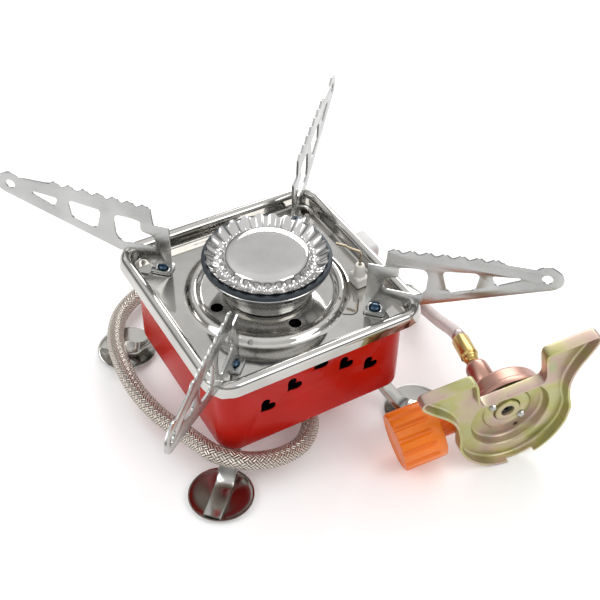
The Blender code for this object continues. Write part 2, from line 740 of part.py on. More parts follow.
def plate_outline(inset):
    """The winged plate, drawn a little smaller by the inset."""
    radius = PLATE_R - inset
    outline = []
    for i in range(25):
        angle = math.radians(205 + 130 * i / 24)
        outline.append((radius * math.cos(angle), radius * math.sin(angle)))
    right = [
        (26.6, -4.0), (26.0, 4.0), (26.4, 11.0), (28.2, 16.5), (31.8, 22.0), (36.4, 27.2), (40.0, 32.0), (40.6, 34.6),
        (39.4, 36.3), (37.8, 36.8), (18.0, 36.8), (16.2, 36.2), (15.4, 34.4), (15.2, 24.0), (14.2, 21.2), (11.6, 20.4),
    ]
    side = [(x, y) for x, y in right]
    whole = side + [(-x, y) for x, y in side[::-1]]
    if inset:
        shifted = []
        count = len(whole)
        full = plate_outline(0)[25:]
        lower = plate_outline(0)[:25]
        loop = lower + full
        for i in range(count):
            k = 25 + i
            before = Vector(loop[k - 1])
            after = Vector(loop[(k + 1) % len(loop)])
            along = (after - before).normalized()
            shifted.append((loop[k][0] - along.y * inset, loop[k][1] + along.x * inset))
        whole = shifted
    return outline + whole


def make_plate(chromate):
    """The winged plate with its rim turned forward and a round recess."""
    t = PLATE_SHEET
    back = -t
    outer = plate_outline(0)
    inner = plate_outline(t)
    count = len(outer)
    steps = 36
    points = [(x, y, back) for x, y in outer]
    points += [(x, y, PLATE_FLANGE) for x, y in outer]
    points += [(x, y, PLATE_FLANGE) for x, y in inner]
    points += [(x, y, 0.0) for x, y in inner]
    faces = []
    for k in range(3):
        a = k * count
        b = a + count
        for i in range(count):
            j = (i + 1) % count
            faces.append([a + i, a + j, b + j, b + i])
    deep = -RECESS_DEPTH
    bowl = [
        (RECESS_R, 0.0), (RECESS_R - 0.6, -0.6), (RECESS_R - 0.9, deep + 0.5), (RECESS_R - 1.5, deep),
        (11.6, deep), (10.9, deep + 0.9), (6.4, deep + 0.9),
        (6.4, deep + 0.9 - t), (11.3, deep + 0.9 - t), (12.0, deep - t), (RECESS_R - 1.2, deep - t),
        (RECESS_R + 0.3, deep + 0.2), (RECESS_R + 0.6, back),
    ]
    start = len(points)
    for r, w in bowl:
        points.extend(circle(r, w, steps))
    for k in range(len(bowl) - 1):
        a = start + k * steps
        b = a + steps
        for i in range(steps):
            j = (i + 1) % steps
            faces.append([a + i, a + j, b + j, b + i])
    last = start + (len(bowl) - 1) * steps
    for first, ring_start in ((3 * count, start), (0, last)):
        loops = [
            [Vector((points[first + i][0], points[first + i][1], 0)) for i in range(count)],
            [Vector((points[ring_start + i][0], points[ring_start + i][1], 0)) for i in range(steps)],
        ]
        index = [first + i for i in range(count)] + [ring_start + i for i in range(steps)]
        for a, b, c in tessellate_polygon(loops):
            faces.append([index[a], index[b], index[c]])
    frame = regulator_frame()
    made = finish("regulator_plate", points, faces, chromate, matrix=frame)
    cuts = []
    for u, v, r in ((-6.6, 5.4, 1.2 + GAP), (6.4, -6.5, 1.2 + GAP), (-6.0, 14.6, 1.5), (4.0, -13.6, 1.3)):
        pin = lathe([(0, -9), (r, -9), (r, 3), (0, 3)], 14, solid=True)
        cuts.append(moved(pin, Matrix.Translation(Vector((u, v, 0)))))
    cuts.append(box((-5.0, -PLATE_R - 4, 2.6), (8.0, -PLATE_R + 4, 9.0)))
    combine(made, tool("plate_cuts", *merged(*cuts), matrix=frame), "DIFFERENCE")


def make_valve(rose, brass, steel, rubber):
    """Valve body, seat, seal, screws and the hexagonal neck."""
    frame = regulator_frame()
    front = -RECESS_DEPTH - PLATE_SHEET - GAP
    back = front - 6.0
    body = [
        (6.9, front), (RECESS_R - 0.4, front), (RECESS_R + 0.95, front + 0.8), (RECESS_R + 0.95, -PLATE_SHEET - 0.4),
        (VALVE_RIM, -PLATE_SHEET - 0.4), (VALVE_RIM, front + 1.8), (VALVE_RIM - 0.5, front + 1.0), (VALVE_R, front + 0.5),
        (VALVE_R, back + 1.6), (VALVE_R - 0.5, back + 0.6), (VALVE_R - 1.6, back), (0, back),
    ]
    # A blind bore for the seat, so the profile starts on the axis behind it
    body = [(0, front - 3.2), (6.2 + GAP, front - 3.2), (6.2 + GAP, front)] + body[1:]
    valve = finish("valve_body", *lathe(body, 30, solid=True), rose, matrix=frame)
    barrel_r = 5.3
    barrel = facing((KNOB_U0 + KNOB_LENGTH + STEM_LENGTH + GAP, KNOB_V, KNOB_W), (1, 0, 0))
    length = 12.0
    inner = SPINDLE_R + GAP
    reach = 9.0
    housing = [(0, 0), (barrel_r - 0.6, 0), (barrel_r, 0.6), (barrel_r, length - 2), (barrel_r - 1, length), (0, length)]
    shape = lathe(housing, 20, solid=True)
    combine(valve, tool("valve_barrel", *shape, matrix=frame @ barrel), "UNION")
    bore = lathe([(0, -4), (inner, -4), (inner, reach), (0, reach)], 14, solid=True)
    combine(valve, tool("valve_bore", *bore, matrix=frame @ barrel), "DIFFERENCE")

    seat_top = -RECESS_DEPTH + 1.9
    seat = [
        (2.9, seat_top - 0.4), (3.4, seat_top), (5.4, seat_top), (6.0, seat_top - 0.6), (6.0, front - 2.8),
        (2.9, front - 2.8),
    ]
    finish("cartridge_seat", *lathe(seat, 20), steel, matrix=frame)
    seal = [(1.2, seat_top - 3.4), (2.6, seat_top - 3.4), (2.6, seat_top - 1.6), (1.2, seat_top - 1.6)]
    finish("nozzle_seal", *lathe(seal, 14), rubber, matrix=frame)
    high = -RECESS_DEPTH + 0.9 + GAP
    for k, (u, v) in enumerate(((-6.6, 5.4), (6.4, -6.5))):
        radius = 2.0
        screw = [
            (0, high + 0.9), (1.3, high + 0.8), (radius, high), (1.2, high), (1.2, -RECESS_DEPTH - PLATE_SHEET + 0.6),
            (0, -RECESS_DEPTH - PLATE_SHEET + 0.6),
        ]
        spot = frame @ Matrix.Translation(Vector((u, v, 0)))
        finish(f"plate_screw_{k}", *lathe(screw, 8, solid=True), steel, matrix=spot)

    neck_start = back - GAP
    neck_end = -25.0
    neck = []
    for w, r in ((neck_start, 4.8), (neck_start - 1.0, 5.2), (neck_end + 2.2, 5.2), (neck_end + 0.6, 4.4), (neck_end, 4.0)):
        neck.append([(NECK_U + x, NECK_V + y, w) for x, y, _ in circle(r, 0, 12)])
    finish("neck_nut", *loft(neck), rose, matrix=frame)


def make_pipe(brass, pink, steel):
    """The brass ferrule on the neck, the smooth pipe and the sleeve where the braid begins."""
    start, end = ferrule_line()
    along = (end - start).normalized()
    length = (end - start).length
    bore = PIPE_R + GAP
    deep = length - 6.5
    profile = [
        (0, 0.0), (2.6, 0.0), (3.0, 0.5), (3.0, 1.3), (2.5, 1.8), (2.5, 2.5), (3.3, 3.0), (3.3, 4.2), (4.1, 5.2),
        (4.1, length - 0.6), (3.9, length), (bore, length), (bore, deep), (0, deep),
    ]
    place = facing(start, along)
    finish("pipe_ferrule", *lathe(profile, 16, solid=True), brass, matrix=place)

    joint, toward = junction()
    path = [end + along * ahead for ahead in (-6, -4.5, -3, -1.5, 0, 1.5, 3.5)]
    path += [Vector((79.0 * WIDE, -36.0, 28.0)), Vector((83.6 * WIDE, -22.0, 19.2))]
    path += [joint + toward * ahead for ahead in (14, 8.5, 4, 0.4)]
    finish("gas_pipe", *rod(smooth_path(path, 24), PIPE_R, 12, up=(1, 0, 0)), pink)

    hose_bore = HOSE_R + GAP
    sleeve = [
        (hose_bore, -8.0), (hose_bore + 0.9, -8.0), (hose_bore + 1.1, -7.2), (hose_bore + 1.1, 4.2),
        (bore + 0.9, 7.6), (bore, 7.6), (bore, 0.0), (hose_bore, 0.0),
    ]
    finish("hose_sleeve", *lathe(sleeve, 18), steel, matrix=facing(joint, toward))


def ferrule_line():
    """Both ends of the brass ferrule."""
    frame = regulator_frame()
    start = frame @ Vector((NECK_U, NECK_V, -25.0 - 2.5 * GAP))
    end = start + Vector((4.9, 16.7, -1.4)).normalized() * 17.0
    return start, end


def junction():
    """Where hose and smooth pipe meet, and the direction towards the regulator."""
    return Vector((88.6 * WIDE, 6.0, 8.6)), Vector((-0.05, -0.95, 0.22)).normalized()


def make_hose(braid):
    """The braided hose, one free cord from the inlet to the sleeve."""
    joint, toward = junction()
    shape = [
        (0, -12.6, INLET_Z), (0, -19, INLET_Z), (0, -25, INLET_Z), (0.6, -32, 9.7), (1.0, -38, 9.2), (-3, -44, 9.5),
        (-11, -50.4, 11.2), (-22.6, -53.9, 14.4), (-34.2, -53.9, 18.2), (-42.6, -50.9, 20.8), (-49.8, -43.0, 21.0),
        (-52.4, -32.6, 18.6), (-54.5, -21, 15.2), (-57.6, -8.4, 12.2), (-59.8, 4, 11), (-60.7, 15.3, 10), (-60.7, 26.2, 10), (-59.3, 38.5, 9.5),
        (-57.2, 49, 9), (-52.3, 60.3, 8.5), (-45, 70.5, 7.5), (-33.4, 78.5, 7), (-15, 85, 7), (10, 88, 7),
        (40, 84, 7), (64, 70, 7), (80, 50, 7), (87.6, 30, 7),
    ]
    route = [Vector((x * WIDE, y * (WIDE if y > 0 else 1), z)) for x, y, z in shape]
    route += [joint - toward * back for back in (14, 9, 5, 0.4)]
    curve = bpy.data.curves.new("hose", "CURVE")
    curve.dimensions = "3D"
    curve.bevel_depth = HOSE_R * MM
    curve.bevel_resolution = 2
    curve.use_fill_caps = True
    spline = curve.splines.new("POLY")
    spline.points.add(HOSE_POINTS - 1)
    for point, place in zip(spline.points, smooth_path(route, HOSE_POINTS)):
        point.co = (*(place * MM), 1.0)
    curve.materials.append(braid)
    made = bpy.data.objects.new("hose", curve)
    bpy.context.scene.collection.objects.link(made)


def make_knob(orange, brass):
    """The grooved control knob and its spindle, both turning about the barrel's axis."""
    axis = regulator_frame() @ facing((KNOB_U0, KNOB_V, KNOB_W), (1, 0, 0))
    origin = axis @ Vector((0, 0, 0))
    count = KNOB_GROOVES * 5
    long = KNOB_LENGTH
    collar = 4.0
    rings = []

    def level(w, radius, groove):
        ring = []
        for i in range(count):
            cut = groove if i % 5 in (2, 3) else 0.0
            angle = math.tau * i / count
            ring.append(((radius - cut) * math.cos(angle), (radius - cut) * math.sin(angle), w))
        rings.append(ring)

    level(0.0, KNOB_R - 1.5, 0.6)
    level(0.4, KNOB_R - 0.4, 1.0)
    level(1.0, KNOB_R, 1.1)
    level(long - collar - 1.6, KNOB_R, 1.1)
    level(long - collar - 0.3, KNOB_R, 0.5)
    level(long - collar, KNOB_R, 0.0)
    level(long - 0.6, KNOB_R - 0.1, 0.0)
    level(long, KNOB_R - 0.8, 0.0)
    level(long + 0.01, STEM_R + 0.01, 0.0)
    level(long + STEM_LENGTH, STEM_R, 0.0)
    inner = SPINDLE_R + GAP
    level(long + STEM_LENGTH, inner, 0.0)
    level(long + 2.0, inner, 0.0)
    finish("control_knob", *loft(rings), orange, origin=origin, matrix=axis)
    spindle = [(0, long + 2.4), (SPINDLE_R, long + 2.4), (SPINDLE_R, long + 19.2), (0, long + 19.6)]
    finish("valve_spindle", *lathe(spindle, 16, solid=True), brass, origin=origin, matrix=axis)


# ---------------------------------------------------------------- assembly


def main():
    for old in list(bpy.data.objects):
        bpy.data.objects.remove(old)
    mirror = material("tray_steel", (0.62, 0.62, 0.61), 0.18, 1.0)
    zinc = material("arm_steel", (0.66, 0.68, 0.69), 0.34, 1.0)
    chrome = material("burner_chrome", (0.72, 0.72, 0.72), 0.12, 1.0)
    slate = material("ring_slate", (0.06, 0.07, 0.08), 0.45, 0.4)
    red = material("pan_red", (0.45, 0.012, 0.004), 0.2, 0.0, 0.6)
    ceramic = material("ceramic_white", (0.75, 0.73, 0.68), 0.35, 0.0, 0.3)
    brass = material("brass", (0.56, 0.39, 0.14), 0.3, 1.0)
    grey = material("button_grey", (0.55, 0.54, 0.53), 0.45, 0.0)
    black = material("plastic_black", (0.03, 0.03, 0.03), 0.5, 0.0)
    rubber = material("rubber_black", (0.02, 0.02, 0.02), 0.7, 0.0)
    blue = material("rivet_blue", (0.06, 0.09, 0.12), 0.3, 0.9)
    leg_steel = material("leg_steel", (0.55, 0.54, 0.52), 0.2, 1.0)
    braid = material("hose_braid", (0.4, 0.34, 0.31), 0.4, 0.8)
    pink = material("pipe_steel", (0.45, 0.38, 0.36), 0.4, 0.7)
    rose = material("valve_rose", (0.42, 0.26, 0.2), 0.35, 0.8)
    chromate = material("plate_chromate", (0.5, 0.45, 0.25), 0.35, 0.9)
    orange = material("knob_orange", (0.85, 0.17, 0.01), 0.4, 0.0, 0.1)

    make_pan(red)
    make_tray(mirror)
    make_burner(chrome, slate, leg_steel, brass)
    make_inlet(brass, leg_steel)
    make_igniter(ceramic, brass, black, grey, rubber)
    make_arms(zinc, blue)
    make_legs(leg_steel)
    make_plate(chromate)
    make_valve(rose, brass, leg_steel, rubber)
    make_pipe(brass, pink, leg_steel)
    make_hose(braid)
    make_knob(orange, brass)


main()
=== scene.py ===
"""Folding camping stove: the finished look of the tray, burner, arms, feet, hose and regulator."""

import json
import math

import bmesh
import bpy
from bpy.props import FloatProperty, FloatVectorProperty, IntProperty, PointerProperty
from mathutils import Matrix, Vector
from mathutils.geometry import tessellate_polygon

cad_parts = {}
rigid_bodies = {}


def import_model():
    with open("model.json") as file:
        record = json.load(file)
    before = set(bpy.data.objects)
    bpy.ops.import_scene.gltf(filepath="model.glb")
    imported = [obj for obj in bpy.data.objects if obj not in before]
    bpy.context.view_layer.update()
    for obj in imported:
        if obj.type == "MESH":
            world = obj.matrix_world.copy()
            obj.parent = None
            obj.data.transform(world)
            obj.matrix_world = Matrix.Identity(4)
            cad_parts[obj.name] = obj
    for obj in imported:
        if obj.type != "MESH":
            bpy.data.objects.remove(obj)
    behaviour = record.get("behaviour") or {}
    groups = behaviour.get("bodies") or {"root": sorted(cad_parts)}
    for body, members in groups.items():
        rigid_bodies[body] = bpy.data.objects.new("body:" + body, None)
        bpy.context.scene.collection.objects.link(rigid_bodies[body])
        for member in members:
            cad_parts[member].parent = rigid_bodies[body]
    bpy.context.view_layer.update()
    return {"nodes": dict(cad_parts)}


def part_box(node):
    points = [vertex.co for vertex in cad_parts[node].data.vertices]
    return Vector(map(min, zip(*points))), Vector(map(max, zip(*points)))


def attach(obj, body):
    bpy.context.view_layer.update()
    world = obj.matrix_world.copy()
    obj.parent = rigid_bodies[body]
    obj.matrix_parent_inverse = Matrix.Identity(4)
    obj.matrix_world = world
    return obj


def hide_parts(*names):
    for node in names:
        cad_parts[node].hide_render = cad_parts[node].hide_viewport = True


bl_info = {
    "name": "Folding camping stove",
    "version": (1, 0, 0),
    "blender": (4, 5, 0),
    "location": "3D View > Sidebar > Stove",
    "description": "Builds the finished pieces of a folding camping stove over its frame",
    "category": "Object",
}

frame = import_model()
MM = 0.001
ARM_ANGLES = {"arm_front_right": -45, "arm_back_right": 45, "arm_back_left": 135, "arm_front_left": 225}
LEG_ANGLES = {"leg_front_right": -45, "leg_back_right": 45, "leg_back_left": 135, "leg_front_left": 225}
TRAY_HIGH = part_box("tray")[1]
PAN_LOW, PAN_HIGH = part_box("body_pan")


# ---------------------------------------------------------------- places and sizes, in millimetres

FLOOR = 59.4  # top of the tray's flat floor
BEAD = 2.7  # radius of the tray's rolled edge
BEAD_Z = FLOOR + 4.8
TRAY_CORNER = 12.0
SKIRT_DROP = 3.3
SKIRT_FLARE = 0.25
BOSS = 33.0  # radius of the ring pressed into the tray
TUBE_HOLE = 8.3
AIR_HOLE = 2.8
AIR_HOLES_AT = 25.0
PAN_CORNER = 9.0
PAN_BEND = 3.0
PAN_TUBE_HOLE = 5.6
HEART = 4.4
HEART_PITCH = 12.8
HEART_STEP_DOWN = 6.35
BUTTON_WINDOW = (3.4, 11.6, 50.8, 56.6)  # its ends across the pan's side, then its heights
INSULATOR_FOOT = FLOOR + 0.3
CUP_Z = FLOOR + 1.6
RING_Z = FLOOR + 17.2
SHEET_OF_CAP = 0.6
ARM_RIVET = 48.85  # from the burner axis to each arm's rivet
LEG_RIVET = 50.0
DISC_AT = 22.0  # from a leg's rivet to the middle of its round foot
PLATE_FOOT = 26.9  # radius of the regulator plate's round end
NECK_U, NECK_V = -4.7, 10.2
STEM_V, STEM_W = -3.2, -11.4  # the line of the knob's spindle across the regulator
KNOB_R = 13.3
KNOB_LONG = 20.2
FERRULE_LONG = 17.0
PIPE_R = 3.15
PIPE_BORE = 3.45
UPRIGHT = Matrix.Rotation(math.radians(90), 4, "X")


# ---------------------------------------------------------------- settings


class StoveSizes(bpy.types.PropertyGroup):
    """The sizes that a user would change."""

    tray_half: FloatProperty(
        name="Tray half width", description="From the burner axis to the tray's outer edge",
        default=TRAY_HIGH[0], unit="LENGTH",
    )
    pan_half: FloatProperty(
        name="Pan half width", description="From the burner axis to the pan's side",
        default=PAN_HIGH[0], unit="LENGTH",
    )
    sheet: FloatProperty(name="Sheet", description="Thickness of the tray and pan", default=0.0008, unit="LENGTH")
    flutes: IntProperty(name="Flutes", description="Folds round the burner cap", default=26, min=8)
    grooves: IntProperty(name="Knob grooves", description="Grip grooves round the knob", default=14, min=4)
    teeth: IntProperty(name="Arm teeth", description="Pot grips along each arm", default=7, min=2)
    hose_radius: FloatProperty(name="Hose radius", description="Outside of the braid", default=0.00405, unit="LENGTH")
    wrinkle: FloatProperty(
        name="Corner wrinkle", description="How far the skirt puckers at the tray's corners",
        default=0.0004, unit="LENGTH",
    )


class StoveColours(bpy.types.PropertyGroup):
    """The colours that a user would change."""

    pan: FloatVectorProperty(
        name="Pan enamel", description="Enamel of the pan", subtype="COLOR", default=(0.50, 0.008, 0.003),
    )
    knob: FloatVectorProperty(
        name="Knob", description="Plastic of the knob", subtype="COLOR", default=(0.90, 0.20, 0.004),
    )
    plate: FloatVectorProperty(
        name="Plate", description="Middle tone of the regulator plate's plating", subtype="COLOR",
        default=(0.53, 0.46, 0.30),
    )
    valve: FloatVectorProperty(
        name="Valve", description="Plating of the valve body", subtype="COLOR", default=(0.52, 0.30, 0.24),
    )
    floor: FloatVectorProperty(
        name="Floor", description="The floor of the stage", subtype="COLOR", default=(0.97, 0.97, 0.97),
    )


# ---------------------------------------------------------------- shader maths


class Wire:
    """One node output that Python operators can add Math nodes to."""

    def __init__(self, finish, socket):
        self.finish = finish
        self.socket = socket

    def _maths(self, operation, *values):
        return self.finish.node("ShaderNodeMath", {"operation": operation}, dict(enumerate(values)))

    def __add__(self, other):
        return self._maths("ADD", self, other)

    __radd__ = __add__

    def __sub__(self, other):
        return self._maths("SUBTRACT", self, other)

    def __rsub__(self, other):
        return self._maths("SUBTRACT", other, self)

    def __mul__(self, other):
        return self._maths("MULTIPLY", self, other)

    __rmul__ = __mul__

    def __gt__(self, other):
        return self._maths("GREATER_THAN", self, other)

    def wave(self):
        return self._maths("SINE", self)

    def size(self):
        return self._maths("ABSOLUTE", self)

    def raised(self, power):
        return self._maths("POWER", self, power)

    def most(self, other):
        return self._maths("MAXIMUM", self, other)

    def clear(self, low, high):
        """Nought at low, one at high."""
        values = {"Value": self, "From Min": low, "From Max": high}
        return self.finish.node("ShaderNodeMapRange", {"clamp": True}, values)


class Finish:
    """A material whose pattern is worked out from the piece's own coordinates."""

    def __init__(self, name, colour, rough, metallic, coat=0.0):
        self.material = bpy.data.materials.new(name)
        self.material.use_nodes = True
        self.material.diffuse_color = (*colour, 1.0)
        self.nodes = self.material.node_tree.nodes
        self.links = self.material.node_tree.links
        self.shader = self.nodes["Principled BSDF"]
        self.shader.inputs["Base Color"].default_value = (*colour, 1.0)
        self.shader.inputs["Roughness"].default_value = rough
        self.shader.inputs["Metallic"].default_value = metallic
        self.shader.inputs["Coat Weight"].default_value = coat
        self.shader.inputs["Coat Roughness"].default_value = 0.06

    def node(self, kind, settings=None, values=None, output=0):
        """Any node: its settings first, then its sockets' values or links."""
        made = self.nodes.new(kind)
        for key, value in (settings or {}).items():
            if key == "stops":
                ramp = made.color_ramp
                for place, colour in value[:-2]:
                    ramp.elements.new(place)
                for element, (place, colour) in zip(ramp.elements, sorted(value)):
                    element.position = place
                    element.color = (*colour, 1.0)
            else:
                setattr(made, key, value)
        for key, value in (values or {}).items():
            socket = made.inputs[key]
            if isinstance(value, Wire):
                self.links.new(value.socket, socket)
            elif isinstance(value, tuple) and len(value) == 3 and socket.type == "RGBA":
                socket.default_value = (*value, 1.0)
            else:
                socket.default_value = value
        return Wire(self, made.outputs[output])

    def place(self, stretch=(1, 1, 1)):
        """Object coordinates, stretched along the grain."""
        where = self.node("ShaderNodeTexCoord", output="Object")
        return self.node("ShaderNodeMapping", {}, {"Vector": where, "Scale": stretch})

    def parts(self, vector):
        """The three numbers of a vector."""
        first = self.node("ShaderNodeSeparateXYZ", {}, {0: vector})
        return [Wire(self, socket) for socket in first.socket.node.outputs]

    def noise(self, scale, detail=3.0, stretch=(1, 1, 1)):
        values = {"Vector": self.place(stretch), "Scale": scale, "Detail": detail}
        return self.node("ShaderNodeTexNoise", {}, values)

    def blend(self, factor, first, second):
        """From the first colour to the second."""
        return self.node(
            "ShaderNodeMix", {"data_type": "RGBA"}, {"Factor": factor, 6: first, 7: second}, output=2
        )

    def paint(self, socket, wire):
        self.links.new(wire.socket, self.shader.inputs[socket])
        return self

    def bump(self, height, strength, distance):
        values = {"Height": height, "Strength": strength, "Distance": distance}
        return self.paint("Normal", self.node("ShaderNodeBump", {}, values))


def sheet_steel(name, colour, rough, smudge, grain):
    """Rolled or plated steel: fine grain, faint smudges and slow changes of tone."""
    made = Finish(name, colour, rough, 1.0)
    slow = made.noise(45, 3)
    fine = made.noise(900, 4)
    dark = tuple(0.80 * c for c in colour)
    made.paint("Base Color", made.blend(slow.clear(0.40, 0.70), colour, dark))
    made.paint("Roughness", rough + (slow - 0.5) * (2.2 * smudge) + (fine - 0.5) * smudge)
    made.bump(fine, grain, 0.00002)
    return made.material


def moulded(name, colour, rough, metallic, coat, grain):
    """Moulded or painted: a fine skin with faint changes of tone."""
    made = Finish(name, colour, rough, metallic, coat)
    slow = made.noise(70, 2)
    fine = made.noise(1600, 3)
    made.paint("Base Color", made.blend(slow.clear(0.35, 0.75), colour, tuple(0.86 * c for c in colour)))
    made.paint("Roughness", rough + (slow - 0.5) * 0.10)
    made.bump(fine, grain, 0.00003)
    return made.material


def enamel(colour):
    """Deep glossy enamel with a faint orange-peel skin; the inner faces are painted near black as painted shade."""
    made = Finish("pan_enamel", colour, 0.34, 0.0, 0.12)
    made.shader.inputs["Specular IOR Level"].default_value = 0.12
    slow = made.noise(30, 2)
    peel = made.noise(420, 2)
    half = bpy.context.scene.stove_sizes.pan_half
    corner = PAN_CORNER * MM
    bend = PAN_BEND * MM
    across, along, up = made.parts(made.place())
    beyond_x = (across.size() - (half - corner)).most(0)
    beyond_y = (along.size() - (half - corner)).most(0)
    reach = (beyond_x * beyond_x + beyond_y * beyond_y).raised(0.5)
    side = (reach - (corner - bend)).most(0)
    below = ((PAN_LOW[2] + bend) - up).most(0)
    outside = (side * side + below * below).raised(0.5) > bend - 0.0003
    shaded = made.blend(slow.clear(0.35, 0.75), colour, tuple(0.80 * c for c in colour))
    # Painted shade: the pan's inner faces are painted near black for the shade inside it; the outer faces keep the
    # enamel with its slow random changes of tone.
    made.paint("Base Color", made.blend(outside, (0.012, 0.006, 0.006), shaded))
    made.paint("Roughness", 0.26 + (slow - 0.5) * 0.12)
    made.bump(peel, 0.10, 0.00006)
    return made.material


def chromate(colour):
    """Yellow plating that drifts to pink and green, with fine dark specks."""
    made = Finish("plate_chromate", colour, 0.33, 0.85)
    slow = made.noise(38, 3, (1, 1, 1.3))
    drifts = {
        0.30: (-0.05, 0.02, -0.01), 0.42: (-0.07, -0.02, -0.12), 0.50: (0, 0, 0), 0.58: (-0.01, -0.08, 0.03),
        0.70: (-0.13, 0.01, -0.05),
    }
    stops = [(at, tuple(max(0.0, c + d) for c, d in zip(colour, drift))) for at, drift in drifts.items()]
    tint = made.node("ShaderNodeValToRGB", {"stops": stops}, {0: slow})
    speck = made.noise(1300, 2).clear(0.70, 0.76)
    made.paint("Base Color", made.blend(speck * 0.7, tint, (0.16, 0.13, 0.08)))
    made.paint("Roughness", 0.30 + slow * 0.12 + speck * 0.2)
    made.bump(made.noise(700, 3), 0.15, 0.00003)
    return made.material


def woven(name, radius):
    """Two sets of flat strands that pass over and under each other round a hose, with painted shade down in the weave.
    """
    made = Finish(name, (0.60, 0.55, 0.51), 0.3, 1.0)
    around, along = made.parts(made.node("ShaderNodeTexCoord", output="UV"))[:2]
    strands = 16
    pitch = math.tau * radius / strands
    one = around * strands + along * (1 / pitch)
    two = around * strands - along * (1 / pitch)
    ridge_one = (one * math.pi).wave().size().raised(0.6)
    ridge_two = (two * math.pi).wave().size().raised(0.6)
    over = ((one * (math.pi / 2)).wave() * (two * (math.pi / 2)).wave()).clear(-0.15, 0.15)
    height = (ridge_one * over).most(ridge_two * (1 - over))
    # Darker down into the weave: the near-black gaps are partly the dark hose under the braid and partly painted shade,
    # and painted shade also darkens each strand towards them.
    made.paint("Base Color", made.blend(height.clear(0.3, 0.9), (0.03, 0.014, 0.010), (0.78, 0.71, 0.63)))
    made.paint("Roughness", 0.5 - height * 0.26)
    made.bump(height, 1.0, 0.0006)
    return made.material


STEELS = {  # material name, colour, roughness, smudges, grain
    "tray": ("tray_steel", (0.57, 0.555, 0.53), 0.08, 0.04, 0.04),
    "arm": ("arm_zinc", (0.50, 0.505, 0.495), 0.26, 0.05, 0.12),
    "chrome": ("burner_chrome", (0.65, 0.64, 0.63), 0.07, 0.03, 0.03),
    "cup": ("cup_steel", (0.58, 0.58, 0.57), 0.2, 0.05, 0.1),
    "leg": ("leg_steel", (0.50, 0.49, 0.465), 0.17, 0.06, 0.1),
    "brass": ("fitting_brass", (0.62, 0.44, 0.16), 0.28, 0.08, 0.15),
    "wire": ("electrode_wire", (0.50, 0.42, 0.30), 0.3, 0.08, 0.1),
}
MOULDED = {  # material name, colour, roughness, metal, clear coat, grain
    "slate": ("ring_slate", (0.045, 0.055, 0.065), 0.42, 0.6, 0.0, 0.12),
    "blue": ("rivet_blue", (0.045, 0.085, 0.13), 0.2, 0.9, 0.0, 0.12),
    "ceramic": ("ceramic_white", (0.80, 0.78, 0.73), 0.32, 0.0, 0.4, 0.12),
    "button": ("button_grey", (0.62, 0.60, 0.60), 0.42, 0.0, 0.0, 0.12),
    "plastic": ("plastic_black", (0.03, 0.03, 0.03), 0.5, 0.0, 0.0, 0.12),
    "rubber": ("rubber_black", (0.02, 0.02, 0.02), 0.7, 0.0, 0.0, 0.12),
    "pipe": ("pipe_steel", (0.56, 0.47, 0.45), 0.34, 0.75, 0.0, 0.12),
    "stem": ("stem_orange", (0.92, 0.17, 0.008), 0.4, 0.0, 0.1, 0.2),
    # painted shade: the dark line laid on the tray floor
    "dark": ("floor_shade_line", (0.12, 0.12, 0.12), 0.5, 0.8, 0.0, 0.12),
}
FINISHES = {}


def make_finish(name):
    """A new material, by the name that the pieces know it by."""
    if name in STEELS:
        return sheet_steel(*STEELS[name])
    if name in MOULDED:
        return moulded(*MOULDED[name])
    colours = bpy.context.scene.stove_colours
    if name == "pan":
        return enamel(tuple(colours.pan))
    if name == "plate":
        return chromate(tuple(colours.plate))
    if name == "valve":
        return sheet_steel("valve_rose", tuple(colours.valve), 0.36, 0.08, 0.15)
    if name == "knob":
        return moulded("knob_orange", tuple(colours.knob), 0.38, 0.0, 0.15, 0.2)
    if name == "braid":
        return woven("hose_braid", bpy.context.scene.stove_sizes.hose_radius)
    raise ValueError(f"no finish is called {name}")


def finish_of(name):
    """Each finish is made once, the first time a piece needs it."""
    if name not in FINISHES:
        FINISHES[name] = make_finish(name)
    return FINISHES[name]


# ---------------------------------------------------------------- mesh helpers, in millimetres


def walls(first, count, rings):
    """Faces between rings of equal count that follow each other from the first point on."""
    faces = []
    for a in range(first, first + (rings - 1) * count, count):
        for i in range(count):
            j = (i + 1) % count
            faces.append([a + i, a + j, a + count + j, a + count + i])
    return faces


def loft(rings, closed=False):
    """Skin through rings of equal count, closed on itself or capped at both ends."""
    count = len(rings[0])
    last = (len(rings) - 1) * count
    faces = walls(0, count, len(rings))
    if closed:
        faces += [[last + i, last + (i + 1) % count, (i + 1) % count, i] for i in range(count)]
    else:
        faces += [list(range(count)), list(range(last, last + count))]
    return [p for ring in rings for p in ring], faces


def circle(radius, z, count=64, turn=0.0):
    """A ring of points."""
    angles = [math.tau * (i + turn) / count for i in range(count)]
    return [(radius * math.cos(a), radius * math.sin(a), z) for a in angles]


def ring_at(x, y, radius, count=28):
    """A flat circle round a point, as an outline."""
    return [(x + a, y + b) for a, b, _ in circle(radius, 0, count)]


def square(half_x, half_y, corner, z, steps=12):
    """A rectangle with round corners."""
    ring = []
    for quarter, (sx, sy) in enumerate(((1, 1), (-1, 1), (-1, -1), (1, -1))):
        for i in range(steps + 1):
            angle = math.pi / 2 * (quarter + i / steps)
            ring.append((sx * (half_x - corner) + corner * math.cos(angle),
                         sy * (half_y - corner) + corner * math.sin(angle), z))
    return ring


def round_like_square(radius, z, steps=12):
    """A circle whose points pair up with those of square()."""
    return circle(radius, z, 4 * (steps + 1), 0.5)


